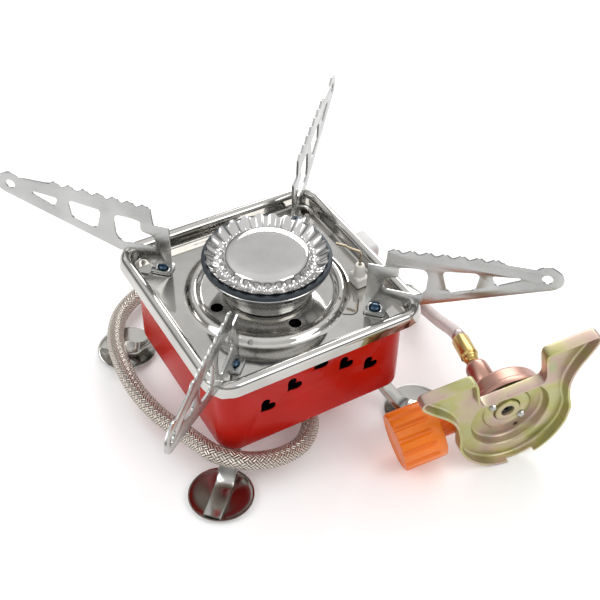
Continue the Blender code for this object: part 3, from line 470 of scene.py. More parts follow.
def lathe(profile, count=64, solid=False):
    """A profile of (radius, z) turned about Z: a closed ring, or a solid with its ends on the axis."""
    if not solid:
        return loft([circle(r, z, count) for r, z in profile], closed=True)
    rings = [circle(r, z, count) for r, z in profile[1:-1]]
    points = [(0, 0, profile[0][1]), *[p for ring in rings for p in ring], (0, 0, profile[-1][1])]
    faces = walls(1, count, len(rings))
    end = 1 + (len(rings) - 1) * count
    for i in range(count):
        j = (i + 1) % count
        faces.append([0, 1 + j, 1 + i])
        faces.append([end + i, end + j, len(points) - 1])
    return points, faces


def drill(radius, low, high, count=28):
    """A round cutter about Z."""
    return lathe([(0, low), (radius, low), (radius, high), (0, high)], count, solid=True)


def plate(outer, holes, z0, z1):
    """A flat sheet with the given outline and holes, between two heights."""
    loops = [[Vector((p[0], p[1], 0)) for p in loop] for loop in [outer, *holes]]
    flat = [p for loop in loops for p in loop]
    count = len(flat)
    points = [(p.x, p.y, z0) for p in flat] + [(p.x, p.y, z1) for p in flat]
    faces = []
    for a, b, c in tessellate_polygon(loops):
        faces.append([a, b, c])
        faces.append([a + count, b + count, c + count])
    start = 0
    for loop in loops:
        for i in range(len(loop)):
            a = start + i
            b = start + (i + 1) % len(loop)
            faces.append([a, b, b + count, a + count])
        start += len(loop)
    return points, faces


def curve_point(p0, p1, p2, p3, t):
    """A place on the smooth curve from p1 to p2, with p0 before it and p3 after it."""
    return 0.5 * (2 * p1 + (p2 - p0) * t + (2 * p0 - 5 * p1 + 4 * p2 - p3) * t * t
                  + (3 * p1 - p0 - 3 * p2 + p3) * t ** 3)


def soften(loop, count):
    """A closed outline through the given points, evenly spread and rounded."""
    size = len(loop)
    fine = []
    for i in range(size):
        near = [Vector(loop[(i + k - 1) % size]) for k in range(4)]
        fine += [tuple(curve_point(*near, step / count)) for step in range(count)]
    return fine


def lengths_along(path):
    """How far along the path each of its points is."""
    lengths = [0.0]
    for a, b in zip(path, path[1:]):
        lengths.append(lengths[-1] + (b - a).length)
    return lengths


def smooth_path(route, count):
    """Evenly spread points on a smooth curve through the route."""
    knots = [Vector(p) for p in route]
    knots = [2 * knots[0] - knots[1], *knots, 2 * knots[-1] - knots[-2]]
    fine = []
    for i in range(1, len(knots) - 2):
        fine += [curve_point(*knots[i - 1:i + 3], step / 20) for step in range(20)]
    fine.append(knots[-2])
    lengths = lengths_along(fine)
    spread = []
    k = 0
    for i in range(count):
        want = lengths[-1] * i / (count - 1)
        while k < len(fine) - 2 and lengths[k + 1] < want:
            k += 1
        span = max(lengths[k + 1] - lengths[k], 1e-9)
        spread.append(fine[k].lerp(fine[k + 1], (want - lengths[k]) / span))
    return spread


def sweep(path, section, up=(0, 0, 1)):
    """A section of (side, up) points carried along a path, capped at both ends."""
    path = [Vector(p) for p in path]
    normal = Vector(up)
    rings = []
    for i, point in enumerate(path):
        ahead = path[min(i + 1, len(path) - 1)] - point
        behind = point - path[max(i - 1, 0)]
        if ahead.length == 0:
            ahead = behind
        if behind.length == 0:
            behind = ahead
        along = (ahead.normalized() + behind.normalized()).normalized()
        normal = (normal - along * normal.dot(along)).normalized()
        side = along.cross(normal)
        stretch = 1 / max(0.5, along.dot(ahead.normalized()))
        rings.append([point + side * a + normal * b * stretch for a, b in section])
    return loft(rings)


def rod(path, radius, count=16, up=(0, 0, 1)):
    """A round rod along a path."""
    return sweep(path, ring_at(0, 0, radius, count), up)


def moved(shape, matrix):
    """The shape after a transform."""
    return [matrix @ Vector(p) for p in shape[0]], shape[1]


def merged(*shapes):
    """Several shapes as one."""
    points = []
    faces = []
    for more_points, more_faces in shapes:
        start = len(points)
        points.extend(more_points)
        faces.extend([[i + start for i in face] for face in more_faces])
    return points, faces


def facing(origin, direction, up=(0, 0, 1)):
    """A frame whose +Z runs along the direction."""
    z = Vector(direction).normalized()
    x = Vector(up).cross(z).normalized()
    turn = Matrix((x, z.cross(x), z)).transposed().to_4x4()
    return Matrix.Translation(Vector(origin)) @ turn


def turned(degrees):
    """A turn about the burner axis."""
    return Matrix.Rotation(math.radians(degrees), 4, "Z")


def mesh_of(name, shape, matrix=None):
    """A mesh in metres, its faces pointing outwards."""
    points, faces = shape if matrix is None else moved(shape, matrix)
    mesh = bpy.data.meshes.new(name)
    mesh.from_pydata([Vector(p) * MM for p in points], [], faces)
    face_outwards(mesh)
    return mesh


def face_outwards(mesh):
    """Merges doubled points and turns every face outwards."""
    work = bmesh.new()
    work.from_mesh(mesh)
    bmesh.ops.remove_doubles(work, verts=work.verts, dist=1e-7)
    bmesh.ops.recalc_face_normals(work, faces=work.faces)
    work.to_mesh(mesh)
    work.free()


def put(name, data):
    """An object in the scene with the given data."""
    made = bpy.data.objects.new(name, data)
    bpy.context.scene.collection.objects.link(made)
    return made


def cut(target, shape, matrix=None):
    """Takes a shape out of an object and keeps the result as its mesh."""
    cutter = put("cutter", mesh_of("cutter", shape, matrix))
    step = target.modifiers.new("cut", "BOOLEAN")
    step.object = cutter
    step.solver = "EXACT"
    bake(target)
    bpy.data.objects.remove(cutter)


def bake(target):
    """Applies what is on an object."""
    graph = bpy.context.evaluated_depsgraph_get()
    mesh = bpy.data.meshes.new_from_object(target.evaluated_get(graph))
    target.modifiers.clear()
    target.data = mesh


def piece(name, shape, finish, body, nodes=(), matrix=None, bevel=0.0, sharp=32, mesh=None):
    """A finished piece: meshed, bevelled, shaded, and riding on its body."""
    made = put(name, mesh or mesh_of(name, shape, matrix))
    return settle(made, finish, body, nodes, bevel, sharp)


def settle(made, finish, body, nodes=(), bevel=0.0, sharp=32):
    """Gives an object its finish, its body and the CAD nodes that it stands for."""
    made.data.materials.clear()
    made.data.materials.append(finish_of(finish))
    if bevel:
        step = made.modifiers.new("edge", "BEVEL")
        step.width = bevel * MM
        step.segments = 2
        step.limit_method = "ANGLE"
        step.angle_limit = math.radians(35)
        bake(made)
    made.data.shade_smooth()
    made.data.set_sharp_from_angle(angle=math.radians(sharp))
    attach(made, body)
    if nodes:
        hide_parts(*nodes)
    return made


def coat_node(name, finish):
    """A CAD piece whose shape is right gets its finish."""
    node = frame["nodes"][name]
    node.data.materials.clear()
    node.data.materials.append(finish_of(finish))


# ---------------------------------------------------------------- tray and pan


def pucker(ring, depth, steps=12):
    """Small folds where the skirt goes round each corner, no two corners alike."""
    out = []
    for i, (x, y, z) in enumerate(ring):
        quarter, k = divmod(i, steps + 1)
        fade = math.sin(math.pi * k / steps) ** 0.6
        folds = math.cos(math.tau * 3.5 * k / steps) + 0.5 * math.sin(5.1 * k + 2.0 * quarter)
        push = depth * fade * folds
        away = Vector((x, y, 0)).normalized() * push
        out.append((x + away.x, y + away.y, z + 0.5 * push))
    return out


BOSS_RIDGE = (
    (5.0, 0), (4.2, 0), (3.6, 0.08), (3.2, 0.3), (2.7, 0.8), (2.0, 1.7), (1.3, 2.3), (0.6, 2.57), (0, 2.6),
    (-0.6, 2.57), (-1.3, 2.3), (-2.0, 1.6), (-2.6, 0.9), (-3.1, 0.3), (-3.6, 0.05), (-4.2, 0), (-5, 0),
)


def tray_rings(half, sheet, folds):
    """The tray from its skirt over the rolled edge, down to the tube's hole and back below."""
    at = half - BEAD
    inner = at - BEAD
    corner = TRAY_CORNER - 2 * BEAD
    rings = []

    def level(size, round_off, z):
        rings.append(square(size, size, round_off, z))

    def roll(radius, angles):
        for angle in angles:
            reach = radius * math.cos(angle)
            level(at + reach, TRAY_CORNER - BEAD + reach, BEAD_Z + radius * math.sin(angle))

    for share in (1.0, 0.85, 0.6, 0.3):
        size = half + SKIRT_FLARE * share
        rings.append(pucker(square(size, size, TRAY_CORNER, BEAD_Z - SKIRT_DROP * share), folds * share))
    roll(BEAD, [math.pi * k / 12 for k in range(13)])
    for inset, z in ((0, 3.0), (0, 1.5), (0.1, 0.8), (0.35, 0.3), (0.8, 0.05), (1.2, 0), (1.7, 0)):
        level(inner - inset, corner - inset, FLOOR + z)
    rings += [round_like_square(BOSS + r, FLOOR + z) for r, z in BOSS_RIDGE]
    rings += [round_like_square(TUBE_HOLE, FLOOR), round_like_square(TUBE_HOLE, FLOOR - sheet)]
    rings += [round_like_square(BOSS + r, FLOOR - sheet + 0.9 * z) for r, z in BOSS_RIDGE[::-1]]
    level(inner - 0.5, corner - 0.5, FLOOR - sheet)
    level(inner + sheet, corner + sheet, FLOOR + 0.6)
    roll(BEAD - sheet, [math.pi - math.pi * k / 6 for k in range(7)])
    size = half - sheet + SKIRT_FLARE
    rings.append(pucker(square(size, size, TRAY_CORNER - sheet, BEAD_Z - SKIRT_DROP), folds))
    return rings


class STOVE_OT_tray(bpy.types.Operator):
    """Make the pressed tray with its rolled edge"""

    bl_idname = "stove.tray"
    bl_label = "Tray"

    def execute(self, context):
        sizes = context.scene.stove_sizes
        half = sizes.tray_half / MM
        sheet = sizes.sheet / MM
        folds = sizes.wrinkle / MM
        tray = put("tray_sheet", mesh_of("tray_sheet", loft(tray_rings(half, sheet, folds), closed=True)))
        hole = drill(AIR_HOLE, FLOOR - 5, FLOOR + 5)
        holes = [moved(hole, turned(90 * k) @ Matrix.Translation((AIR_HOLES_AT, 0, 0))) for k in range(4)]
        cut(tray, merged(*holes))
        settle(tray, "tray", "stove", ["tray"], sharp=50)
        # Painted shade: a thin dark rod laid on the polished tray floor stands for a line of shade there.
        line = [(19.4, -29.0), (22.0, -30.9), (24.6, -32.4), (26.6, -32.2), (28.2, -30.8), (31.9, -25.6)]
        shade_path = smooth_path([(x, y, FLOOR) for x, y in line], 24)
        piece("tray_mark", rod(shade_path, 0.28, 8), "dark", "stove")
        return {"FINISHED"}


def heart(x, z, size, count=40):
    """One pierced heart, leaning to the lower left."""
    lean = Matrix.Rotation(math.radians(-50), 2)
    outline = []
    for i in range(count):
        t = math.tau * (i + 0.5) / count
        across = 16 * math.sin(t) ** 3
        up = 13 * math.cos(t) - 5 * math.cos(2 * t) - 2 * math.cos(3 * t) - math.cos(4 * t) + 2
        outline.append(tuple(Vector((x, z)) + lean @ Vector((across, up)) * (size / 17)))
    return outline


class STOVE_OT_pan(bpy.types.Operator):
    """Make the enamelled pan with its pierced hearts"""

    bl_idname = "stove.pan"
    bl_label = "Pan"

    def execute(self, context):
        sizes = context.scene.stove_sizes
        half = sizes.pan_half / MM
        sheet = sizes.sheet / MM
        low = PAN_LOW[2] / MM
        top = PAN_HIGH[2] / MM
        rings = [square(half, half, PAN_CORNER, top), square(half, half, PAN_CORNER, top - 1)]

        def level(inset, z):
            rings.append(square(half - inset, half - inset, PAN_CORNER - inset, z))

        for k in range(9):
            angle = math.pi / 2 * k / 8
            level(PAN_BEND * (1 - math.cos(angle)), low + PAN_BEND * (1 - math.sin(angle)))
        level(PAN_BEND + 1, low)
        rings += [round_like_square(PAN_TUBE_HOLE, low), round_like_square(PAN_TUBE_HOLE, low + sheet)]
        inside = PAN_BEND - sheet
        for k in range(5):
            angle = math.pi / 2 * k / 4
            level(PAN_BEND - inside * math.sin(angle), low + PAN_BEND - inside * math.cos(angle))
        level(sheet, top)
        pan = put("pan_shell", mesh_of("pan_shell", loft(rings, closed=True)))
        shapes = []
        for k in range(-2, 3):
            outline = heart(k * HEART_PITCH, FLOOR - 6.9 - HEART_STEP_DOWN * abs(k), HEART)
            shapes.append(moved(plate(outline, [], -half - 9, half + 9), UPRIGHT))
        y_low, y_high, z_low, z_high = BUTTON_WINDOW
        window = [(half - 4, y_low), (half + 4, y_low), (half + 4, y_high), (half - 4, y_high)]
        cut(pan, merged(*shapes, plate(window, [], z_low, z_high)))
        settle(pan, "pan", "stove", ["body_pan"], bevel=0.12, sharp=40)
        return {"FINISHED"}


# ---------------------------------------------------------------- burner


class STOVE_OT_burner(bpy.types.Operator):
    """Make the fluted cap, the dark ring and the cup below them"""

    bl_idname = "stove.burner"
    bl_label = "Burner"

    def execute(self, context):
        flutes = context.scene.stove_sizes.flutes
        top = RING_Z + 0.7
        base = [(18.2, FLOOR + 0.35), (18.6, FLOOR + 0.9), (19.0, CUP_Z), (19.5, CUP_Z + 0.2)]
        bowl = [
            (20.0, CUP_Z + 1.0), (20.3, CUP_Z + 2.2), (20.8, CUP_Z + 3.6), (22.0, CUP_Z + 6.0), (23.8, CUP_Z + 9.0),
            (25.8, CUP_Z + 11.6), (26.9, CUP_Z + 13.4),
        ]
        lip = [(27.5, RING_Z - 0.4), (28.0, RING_Z), (28.1, top - 0.2), (27.9, top), (26.6, top), (26.6, top - 1.0)]
        inside = [(r - 0.8, z + 0.25) for r, z in bowl[::-1]]
        cup = [(6.5, CUP_Z), (17.6, CUP_Z), (17.6, FLOOR + 0.35), *base, *bowl, *lip, *inside]
        cup += [(18.0, CUP_Z + 0.8), (6.5, CUP_Z + 0.8)]
        piece("cup_shell", lathe(cup, 96), "cup", "stove", ["burner_cup"], sharp=40)
        ring_top = RING_Z + 2.9
        seat = RING_Z + 0.9
        ring = [
            (25.9, seat), (27.6, seat), (28.2, seat + 0.15), (28.5, seat + 0.5), (28.5, ring_top - 0.9),
            (28.2, ring_top - 0.25), (27.7, ring_top), (26.6, ring_top), (26.1, ring_top - 0.2),
            (25.9, ring_top - 0.6),
        ]
        piece("slate_ring", lathe(ring, 96), "slate", "stove", ["burner_ring"], sharp=35)

        rest = ring_top + 0.3
        levels = [
            (0.5, 1.2, 0), (8.0, 1.2, 0), (14.0, 1.17, 0), (16.6, 1.1, 0), (17.7, 0.9, 0), (18.4, 0.45, 0),
            (18.9, -0.3, 0.05), (19.3, -1.1, 0.25), (19.8, -1.9, 0.55), (20.5, -2.5, 0.8), (21.3, -2.65, 0.9),
            (22.2, -2.3, 0.95), (23.3, -1.6, 1.0), (24.4, -0.8, 1.0), (25.4, -0.1, 1.0), (26.1, 0.45, 1.0),
            (26.5, 0.8, 1.0),
        ]
        count = flutes * 12
        upper = []
        lower = []
        for r, z, wave in levels:
            over = []
            under = []
            for i in range(count):
                angle = math.tau * i / count
                fold = wave * max(-0.9, min(0.9, 1.35 * math.cos(flutes * angle)))
                reach = r + 0.42 * fold
                lift = rest + z + (0.66 if r > 20.4 else 0.4) * fold
                over.append((reach * math.cos(angle), reach * math.sin(angle), lift))
                under.append((reach * math.cos(angle), reach * math.sin(angle), lift - SHEET_OF_CAP))
            upper.append(over)
            lower.append(under)
        piece("fluted_cap", loft(upper + lower[::-1]), "chrome", "stove", ["flame_cap"], sharp=70)
        return {"FINISHED"}


# ---------------------------------------------------------------- igniter


def insulator_shape():
    """The ceramic: a round stem in the tray, a square collar and a tapered neck."""
    low = INSULATOR_FOOT - 10
    rings = [round_like_square(2.6, low, 6), round_like_square(2.6, INSULATOR_FOOT, 6)]
    for inset, z in ((0.5, 0), (0.1, 0.15), (0, 0.6), (0, 3.9), (0.12, 4.4), (0.5, 4.75)):
        rings.append(square(3.25 - inset, 3.9 - inset, 0.9, INSULATOR_FOOT + z, 6))
    for r, z in ((2.9, 5.0), (2.8, 5.5), (2.5, 8.0), (2.2, 10.0), (1.9, 10.5), (1.5, 10.6), (0.9, 10.6)):
        rings.append(round_like_square(r, INSULATOR_FOOT + z, 6))
    rings.append(round_like_square(0.9, low, 6))
    return loft(rings, closed=True)


def wire_route(at):
    """Up through the ceramic, then bent over towards the cap with a small kink."""
    top = FLOOR + 18.1
    tip = Vector((31.4, at.y + 10.0, top + 0.2))
    bend = Vector((at.x - 0.4, at.y + 0.6, top - 0.1))
    upright = [(at.x, at.y, z) for z in (INSULATOR_FOOT - 12, INSULATOR_FOOT, top - 4, top - 1.4)]
    over = [bend.lerp(tip, 0.10), bend.lerp(tip, 0.5), bend.lerp(tip, 0.6) + Vector((0, 0, 0.5)), tip]
    return [*upright, (at.x - 0.1, at.y + 0.15, top - 0.5), bend, *over]


def button_shape(low, high):
    """A rounded cap outside the pan on a flat stem that goes in through the window."""
    middle = (low + high) / 2
    half, tall = (high.y - low.y) / 2, (high.z - low.z) / 2
    start = PAN_HIGH[0] / MM + 3.6
    turn = Matrix.Rotation(math.radians(90), 4, "Y") @ Matrix.Rotation(math.radians(90), 4, "Z")
    rings = [square(half - 0.3, tall - 0.3, 2.0, start, 8), square(half, tall, 2.2, start + 0.3, 8)]
    for inset, x in ((0, 1.6), (0.1, 1.0), (0.35, 0.5), (0.8, 0.15), (1.4, 0)):
        rings.append(square(half - inset, tall - inset, 2.2 - 0.5 * inset, high.x - x, 8))
    cap = moved(loft(rings), Matrix.Translation((0, middle.y, middle.z)) @ turn)
    y_low, y_high, z_low, z_high = BUTTON_WINDOW
    play = 0.3
    stem = [(low.x, y_low), (start + 1, y_low), (start + 1, y_high), (low.x, y_high)]
    stem = [(x, y + play if y == y_low else y - play) for x, y in stem]
    return merged(cap, plate(stem, [], z_low + play, z_high - play))


class STOVE_OT_igniter(bpy.types.Operator):
    """Make the electrode, its insulator and the push button"""

    bl_idname = "stove.igniter"
    bl_label = "Igniter"

    def execute(self, context):
        low, high = (Vector(corner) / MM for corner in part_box("electrode_insulator"))
        at = (low + high) / 2
        at.z = 0
        piece("insulator", insulator_shape(), "ceramic", "stove", ["electrode_insulator"],
              matrix=Matrix.Translation(at), sharp=40)
        wire = rod(smooth_path(wire_route(at), 60), 0.6, 14, (0, 1, 0))
        piece("spark_wire", wire, "wire", "stove", ["electrode_wire"])
        low, high = (Vector(corner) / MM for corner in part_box("igniter_button"))
        piece("push_button", button_shape(low, high), "button", "igniter_button", ["igniter_button"],
              sharp=40)
        return {"FINISHED"}


# ---------------------------------------------------------------- arms


def blade_outline(teeth):
    """The arm from the side: distance beyond the rivet, height above the tray floor."""
    head = 3.35
    outline = [
        (-4.4, 0.3), (-head, 0.3), (-head, 2.5), (-head + 1.2, 3.9), (head - 1.2, 3.9), (head, 2.5), (head, 0.3),
        (4.7, 0.3), (7.4, 4.4), (7.7, 4.6), (11.1, 4.6), (11.5, 4.8), (13.2, 7.6), (13.8, 7.9), (19.7, 7.9),
        (72.0, 29.3), (73.6, 30.3), (74.9, 31.7), (75.6, 33.2), (75.75, 34.8), (75.3, 36.5), (74.3, 37.9), (72.8, 38.9),
        (70.9, 39.9), (69.6, 40.3), (68.2, 40.3), (66.9, 39.9), (65.6, 39.1), (64.3, 38.1),
    ]
    pitch = 6.85
    last = 6.6 + (teeth - 1) * pitch
    for k in range(teeth):
        along = last - k * pitch
        crest = 35.4 + 3.9 * (teeth - 1 - k) / (teeth - 1)
        ahead = 2.9 if k else 5.0
        shape = [
            (ahead, -1.45), (2.2, -1.1), (1.3, -0.4), (0.6, -0.06), (-0.2, 0), (-1.0, -0.2), (-1.9, -0.9),
            (-2.7, -1.5), (-3.3, -1.75),
        ]
        outline += [(along + a, crest + b) for a, b in shape]
    outline += [(3.3, 32.0), (3.25, 31.0), (3.0, 28.0), (2.9, 26.2), (2.6, 25.3), (1.9, 25.1), (-4.4, 25.1)]
    return outline


BLADE_WINDOWS = (
    ((8.6, 26.3), (13.8, 27.3), (19.0, 27.6), (20.6, 26.6), (21.3, 24.0), (21.0, 16.2), (19.6, 13.9), (17.1, 12.6),
     (4.2, 12.8), (2.6, 14.2), (2.4, 17.6), (3.7, 19.6), (8.0, 20.7), (8.9, 22.0)),
    ((28.0, 28.7), (40.6, 30.8), (42.3, 29.6), (41.4, 22.1), (40.2, 21.0), (31.6, 17.9), (29.5, 18.6), (27.2, 27.2)),
    ((47.9, 31.0), (58.4, 32.4), (59.3, 31.2), (50.0, 26.0), (48.6, 26.6), (47.3, 30.0)),
)


def rounded(loop, radius, steps=4):
    """An outline with each corner rounded off."""
    out = []
    size = len(loop)
    for i in range(size):
        here = Vector(loop[i])
        before = Vector(loop[i - 1]) - here
        after = Vector(loop[(i + 1) % size]) - here
        reach = min(radius, 0.45 * before.length, 0.45 * after.length)
        a = here + before.normalized() * reach
        b = here + after.normalized() * reach
        for k in range(steps + 1):
            t = k / steps
            out.append(tuple(a.lerp(here, t).lerp(here.lerp(b, t), t)))
    return out


class STOVE_OT_arms(bpy.types.Operator):
    """Make the four toothed pot arms"""

    bl_idname = "stove.arms"
    bl_label = "Pot arms"

    def execute(self, context):
        holes = [rounded(window, 1.4) for window in BLADE_WINDOWS]
        holes.append(ring_at(69.1, 34.2, 2.3))
        blade = plate(blade_outline(context.scene.stove_sizes.teeth), holes, -1.0, 0.0)
        pad_outline = rounded([(-4.6, -4.0), (4.9, -4.0), (4.9, 4.0), (-4.6, 4.0)], 1.8, 5)
        pad = plate(pad_outline, [ring_at(0, 0, 1.8)], 0.3, 1.3)
        for name, angle in ARM_ANGLES.items():
            place = turned(angle) @ Matrix.Translation((ARM_RIVET, 0, FLOOR))
            shape = merged(moved(blade, place @ UPRIGHT), moved(pad, place))
            piece(name + "_blade", shape, "arm", name, [name], bevel=0.16, sharp=35)
        return {"FINISHED"}


# ---------------------------------------------------------------- legs


class STOVE_OT_legs(bpy.types.Operator):
    """Make the four folding feet"""

    bl_idname = "stove.legs"
    bl_label = "Feet"

    def execute(self, context):
        wide = 4.2
        section = [
            (-wide, -2.6), (-wide, -0.9), (-wide + 0.25, -0.3), (-wide + 0.9, 0), (wide - 0.9, 0), (wide - 0.25, -0.3),
            (wide, -0.9), (wide, -2.6), (wide - 0.9, -2.6), (wide - 0.9, -1.2), (wide - 1.2, -0.9), (-wide + 1.2, -0.9),
            (-wide + 0.9, -1.2), (-wide + 0.9, -2.6),
        ]
        top = 17.9
        over = 3.4
        route = [
            (-5.2, 0, top), (0, 0, top), (3.4, 0, top), (5.0, 0, top - 0.5), (6.4, 0, top - 1.8), (9.0, 0, top - 5.4),
            (12.4, 0, over + 5.0), (15.2, 0, over + 1.9), (18.0, 0, over + 0.35), (22, 0, over), (30, 0, over),
            (34.6, 0, over - 0.2),
        ]
        strap = sweep(smooth_path(route, 60), section)
        dish = [
            (0, 1.0), (4, 1.02), (8.0, 1.12), (10.5, 1.35), (12.4, 1.75), (13.6, 2.25), (14.2, 2.55), (14.45, 2.5),
            (14.5, 2.25), (14.2, 1.85), (13.2, 1.15), (12.0, 0.65), (10.4, 0.25), (8.6, 0), (0, 0),
        ]
        foot = moved(lathe(dish, 96, solid=True), Matrix.Translation((DISC_AT, 0, 0)))
        for name, angle in LEG_ANGLES.items():
            place = turned(angle) @ Matrix.Translation((LEG_RIVET, 0, 0))
            piece(name + "_foot", moved(merged(strap, foot), place), "leg", name, [name], sharp=40)
        return {"FINISHED"}


# ---------------------------------------------------------------- rivets, by Geometry Nodes


def rivet_tree(name):
    """One domed rivet, turned from its sizes, on every point of the mesh it is given."""
    tree = bpy.data.node_groups.new(name, "GeometryNodeTree")
    face = tree.interface
    face.new_socket("Geometry", in_out="INPUT", socket_type="NodeSocketGeometry")
    sizes = {"Head radius": 0.00265, "Head height": 0.0015, "Shank radius": 0.0015, "Shank": 0.004, "Turn": 0.0}
    for label, value in sizes.items():
        socket = face.new_socket(label, in_out="INPUT", socket_type="NodeSocketFloat")
        socket.default_value = value
    face.new_socket("Finish", in_out="INPUT", socket_type="NodeSocketMaterial")
    face.new_socket("Geometry", in_out="OUTPUT", socket_type="NodeSocketGeometry")

    def add(kind, settings=None, values=None):
        made = tree.nodes.new(kind)
        for key, value in (settings or {}).items():
            setattr(made, key, value)
        for key, value in (values or {}).items():
            if isinstance(value, bpy.types.NodeSocket):
                tree.links.new(value, made.inputs[key])
            else:
                made.inputs[key].default_value = value
        return made

    given = add("NodeGroupInput").outputs
    ball = add("GeometryNodeMeshUVSphere", {}, {"Segments": 28, "Rings": 16, "Radius": 1.0})
    width = given["Head radius"]
    height = add("ShaderNodeCombineXYZ", {}, {0: width, 1: width, 2: given["Head height"]})
    dome = add("GeometryNodeTransform", {}, {"Geometry": ball.outputs[0], "Scale": height.outputs[0]})
    place = add("GeometryNodeInputPosition")
    parts = add("ShaderNodeSeparateXYZ", {}, {0: place.outputs[0]})
    flat = add("ShaderNodeMath", {"operation": "MAXIMUM"}, {0: parts.outputs[2], 1: 0.0})
    joined = add("ShaderNodeCombineXYZ", {}, {0: parts.outputs[0], 1: parts.outputs[1], 2: flat.outputs[0]})
    head = add("GeometryNodeSetPosition", {}, {"Geometry": dome.outputs[0], "Position": joined.outputs[0]})
    shank = add("GeometryNodeMeshCylinder", {}, {
        "Vertices": 24, "Radius": given["Shank radius"], "Depth": given["Shank"],
    })
    down = add("ShaderNodeMath", {"operation": "MULTIPLY"}, {0: given["Shank"], 1: -0.5})
    lower = add("ShaderNodeCombineXYZ", {}, {2: down.outputs[0]})
    sunk = add("GeometryNodeTransform", {}, {"Geometry": shank.outputs[0], "Translation": lower.outputs[0]})
    both = add("GeometryNodeJoinGeometry")
    tree.links.new(sunk.outputs[0], both.inputs[0])
    tree.links.new(head.outputs[0], both.inputs[0])
    turn = add("ShaderNodeCombineXYZ", {}, {0: given["Turn"]})
    spread = add("GeometryNodeInstanceOnPoints", {}, {
        "Points": given["Geometry"], "Instance": both.outputs[0], "Rotation": turn.outputs[0],
    })
    real = add("GeometryNodeRealizeInstances", {}, {0: spread.outputs[0]})
    dressed = add("GeometryNodeSetMaterial", {}, {"Geometry": real.outputs[0], "Material": given["Finish"]})
    add("NodeGroupOutput", {}, {0: dressed.outputs[0]})
    return tree


def rivets(name, tree, places, finish, nodes, values, turn=0.0):
    """A row of rivets on the given places, baked to a plain mesh."""
    mesh = bpy.data.meshes.new(name)
    mesh.from_pydata([Vector(p) * MM for p in places], [], [])
    made = put(name, mesh)
    step = made.modifiers.new("rivets", "NODES")
    step.node_group = tree
    keys = {item.name: item.identifier for item in tree.interface.items_tree if item.in_out == "INPUT"}
    for label, value in values.items():
        step[keys[label]] = value * MM
    step[keys["Turn"]] = turn
    step[keys["Finish"]] = finish_of(finish)
    bake(made)
    settle(made, finish, "stove", nodes, sharp=40)


class STOVE_OT_rivets(bpy.types.Operator):
    """Set the rivets that the arms and feet turn on"""

    bl_idname = "stove.rivets"
    bl_label = "Rivets"

    def execute(self, context):
        tree = rivet_tree("Domed rivets")
        arms = [name.replace("arm", "arm_rivet") for name in ARM_ANGLES]
        legs = [name.replace("leg", "leg_rivet") for name in LEG_ANGLES]

        def places(angles, out, height):
            return [turned(angle) @ Vector((out, 0, height)) for angle in angles.values()]

        top = places(ARM_ANGLES, ARM_RIVET, FLOOR + 1.6)
        rivets("arm_rivet_heads", tree, top, "blue", arms, {"Head height": 1.5, "Shank": 3.8})
        inside = places(LEG_ANGLES, LEG_RIVET, 19.3)
        rivets("leg_rivet_heads", tree, inside, "leg", [], {"Head height": 1.3, "Shank": 3.5})
        below = places(LEG_ANGLES, LEG_RIVET, 16.6)
        low = {"Head height": 1.3, "Shank": 1.0}
        rivets("leg_rivet_feet", tree, below, "leg", legs, low, turn=math.pi)
        return {"FINISHED"}


# ---------------------------------------------------------------- hose and pipe

REG_ORIGIN = Vector((70.5, -92.1, 27.0))
REG_TURN = math.radians(-11.4)
REG_ROLL = math.radians(11.8)
JOINT = Vector((88.6, 6.0, 8.6))  # where the pipe meets the hose
TOWARD = Vector((-0.05, -0.95, 0.22)).normalized()


def regulator_frame():
    """u runs across the plate, v up it and w out of its face."""
    face = Vector((math.sin(REG_TURN), -math.cos(REG_TURN), 0))
    level = Vector((math.cos(REG_TURN), math.sin(REG_TURN), 0))
    across = level * math.cos(REG_ROLL) + Vector((0, 0, 1)) * math.sin(REG_ROLL)
    turn = Matrix((across, face.cross(across), face)).transposed().to_4x4()
    return Matrix.Translation(REG_ORIGIN) @ turn


def hose_route():
    """Where the hose lies, from the elbow to the sleeve."""
    shape = [
        (0, -12.6, 10), (0, -19, 10), (0, -25, 10), (0.6, -32, 9.7), (1.0, -38, 9.2), (-3, -44, 9.5),
        (-11, -50.4, 11.2), (-22.6, -53.9, 14.4), (-34.2, -53.9, 18.2), (-42.6, -50.9, 20.8), (-49.8, -43.0, 21.0),
        (-52.4, -32.6, 18.6), (-54.5, -21, 15.2), (-57.6, -8.4, 12.2), (-59.8, 4, 11), (-60.7, 15.3, 10),
        (-60.7, 26.2, 10), (-59.3, 38.5, 9.5), (-57.2, 49, 9), (-52.3, 60.3, 8.5), (-45, 70.5, 7.5), (-33.4, 78.5, 7),
        (-15, 85, 7), (10, 88, 7), (40, 84, 7), (64, 70, 7), (80, 50, 7), (87.6, 30, 7),
    ]
    return [Vector(p) for p in shape] + [JOINT - TOWARD * back for back in (14, 9, 5, 0.4)]


def braided_mesh(name, path, radius, around):
    """A round cord whose UVs run once round it and, in metres, along it."""
    points, faces = rod(path, radius, around)
    lengths = lengths_along(path)
    mesh = bpy.data.meshes.new(name)
    mesh.from_pydata([Vector(p) * MM for p in points], [], faces)
    coords = mesh.uv_layers.new(name="braid").data
    for face in mesh.polygons:
        if face.loop_total != 4:
            continue
        columns = [v % around for v in face.vertices]
        wraps = max(columns) - min(columns) > 1
        for loop, vertex, column in zip(face.loop_indices, face.vertices, columns):
            turn = (column or around) if wraps else column
            coords[loop].uv = (turn / around, lengths[vertex // around] * MM)
    face_outwards(mesh)
    return mesh


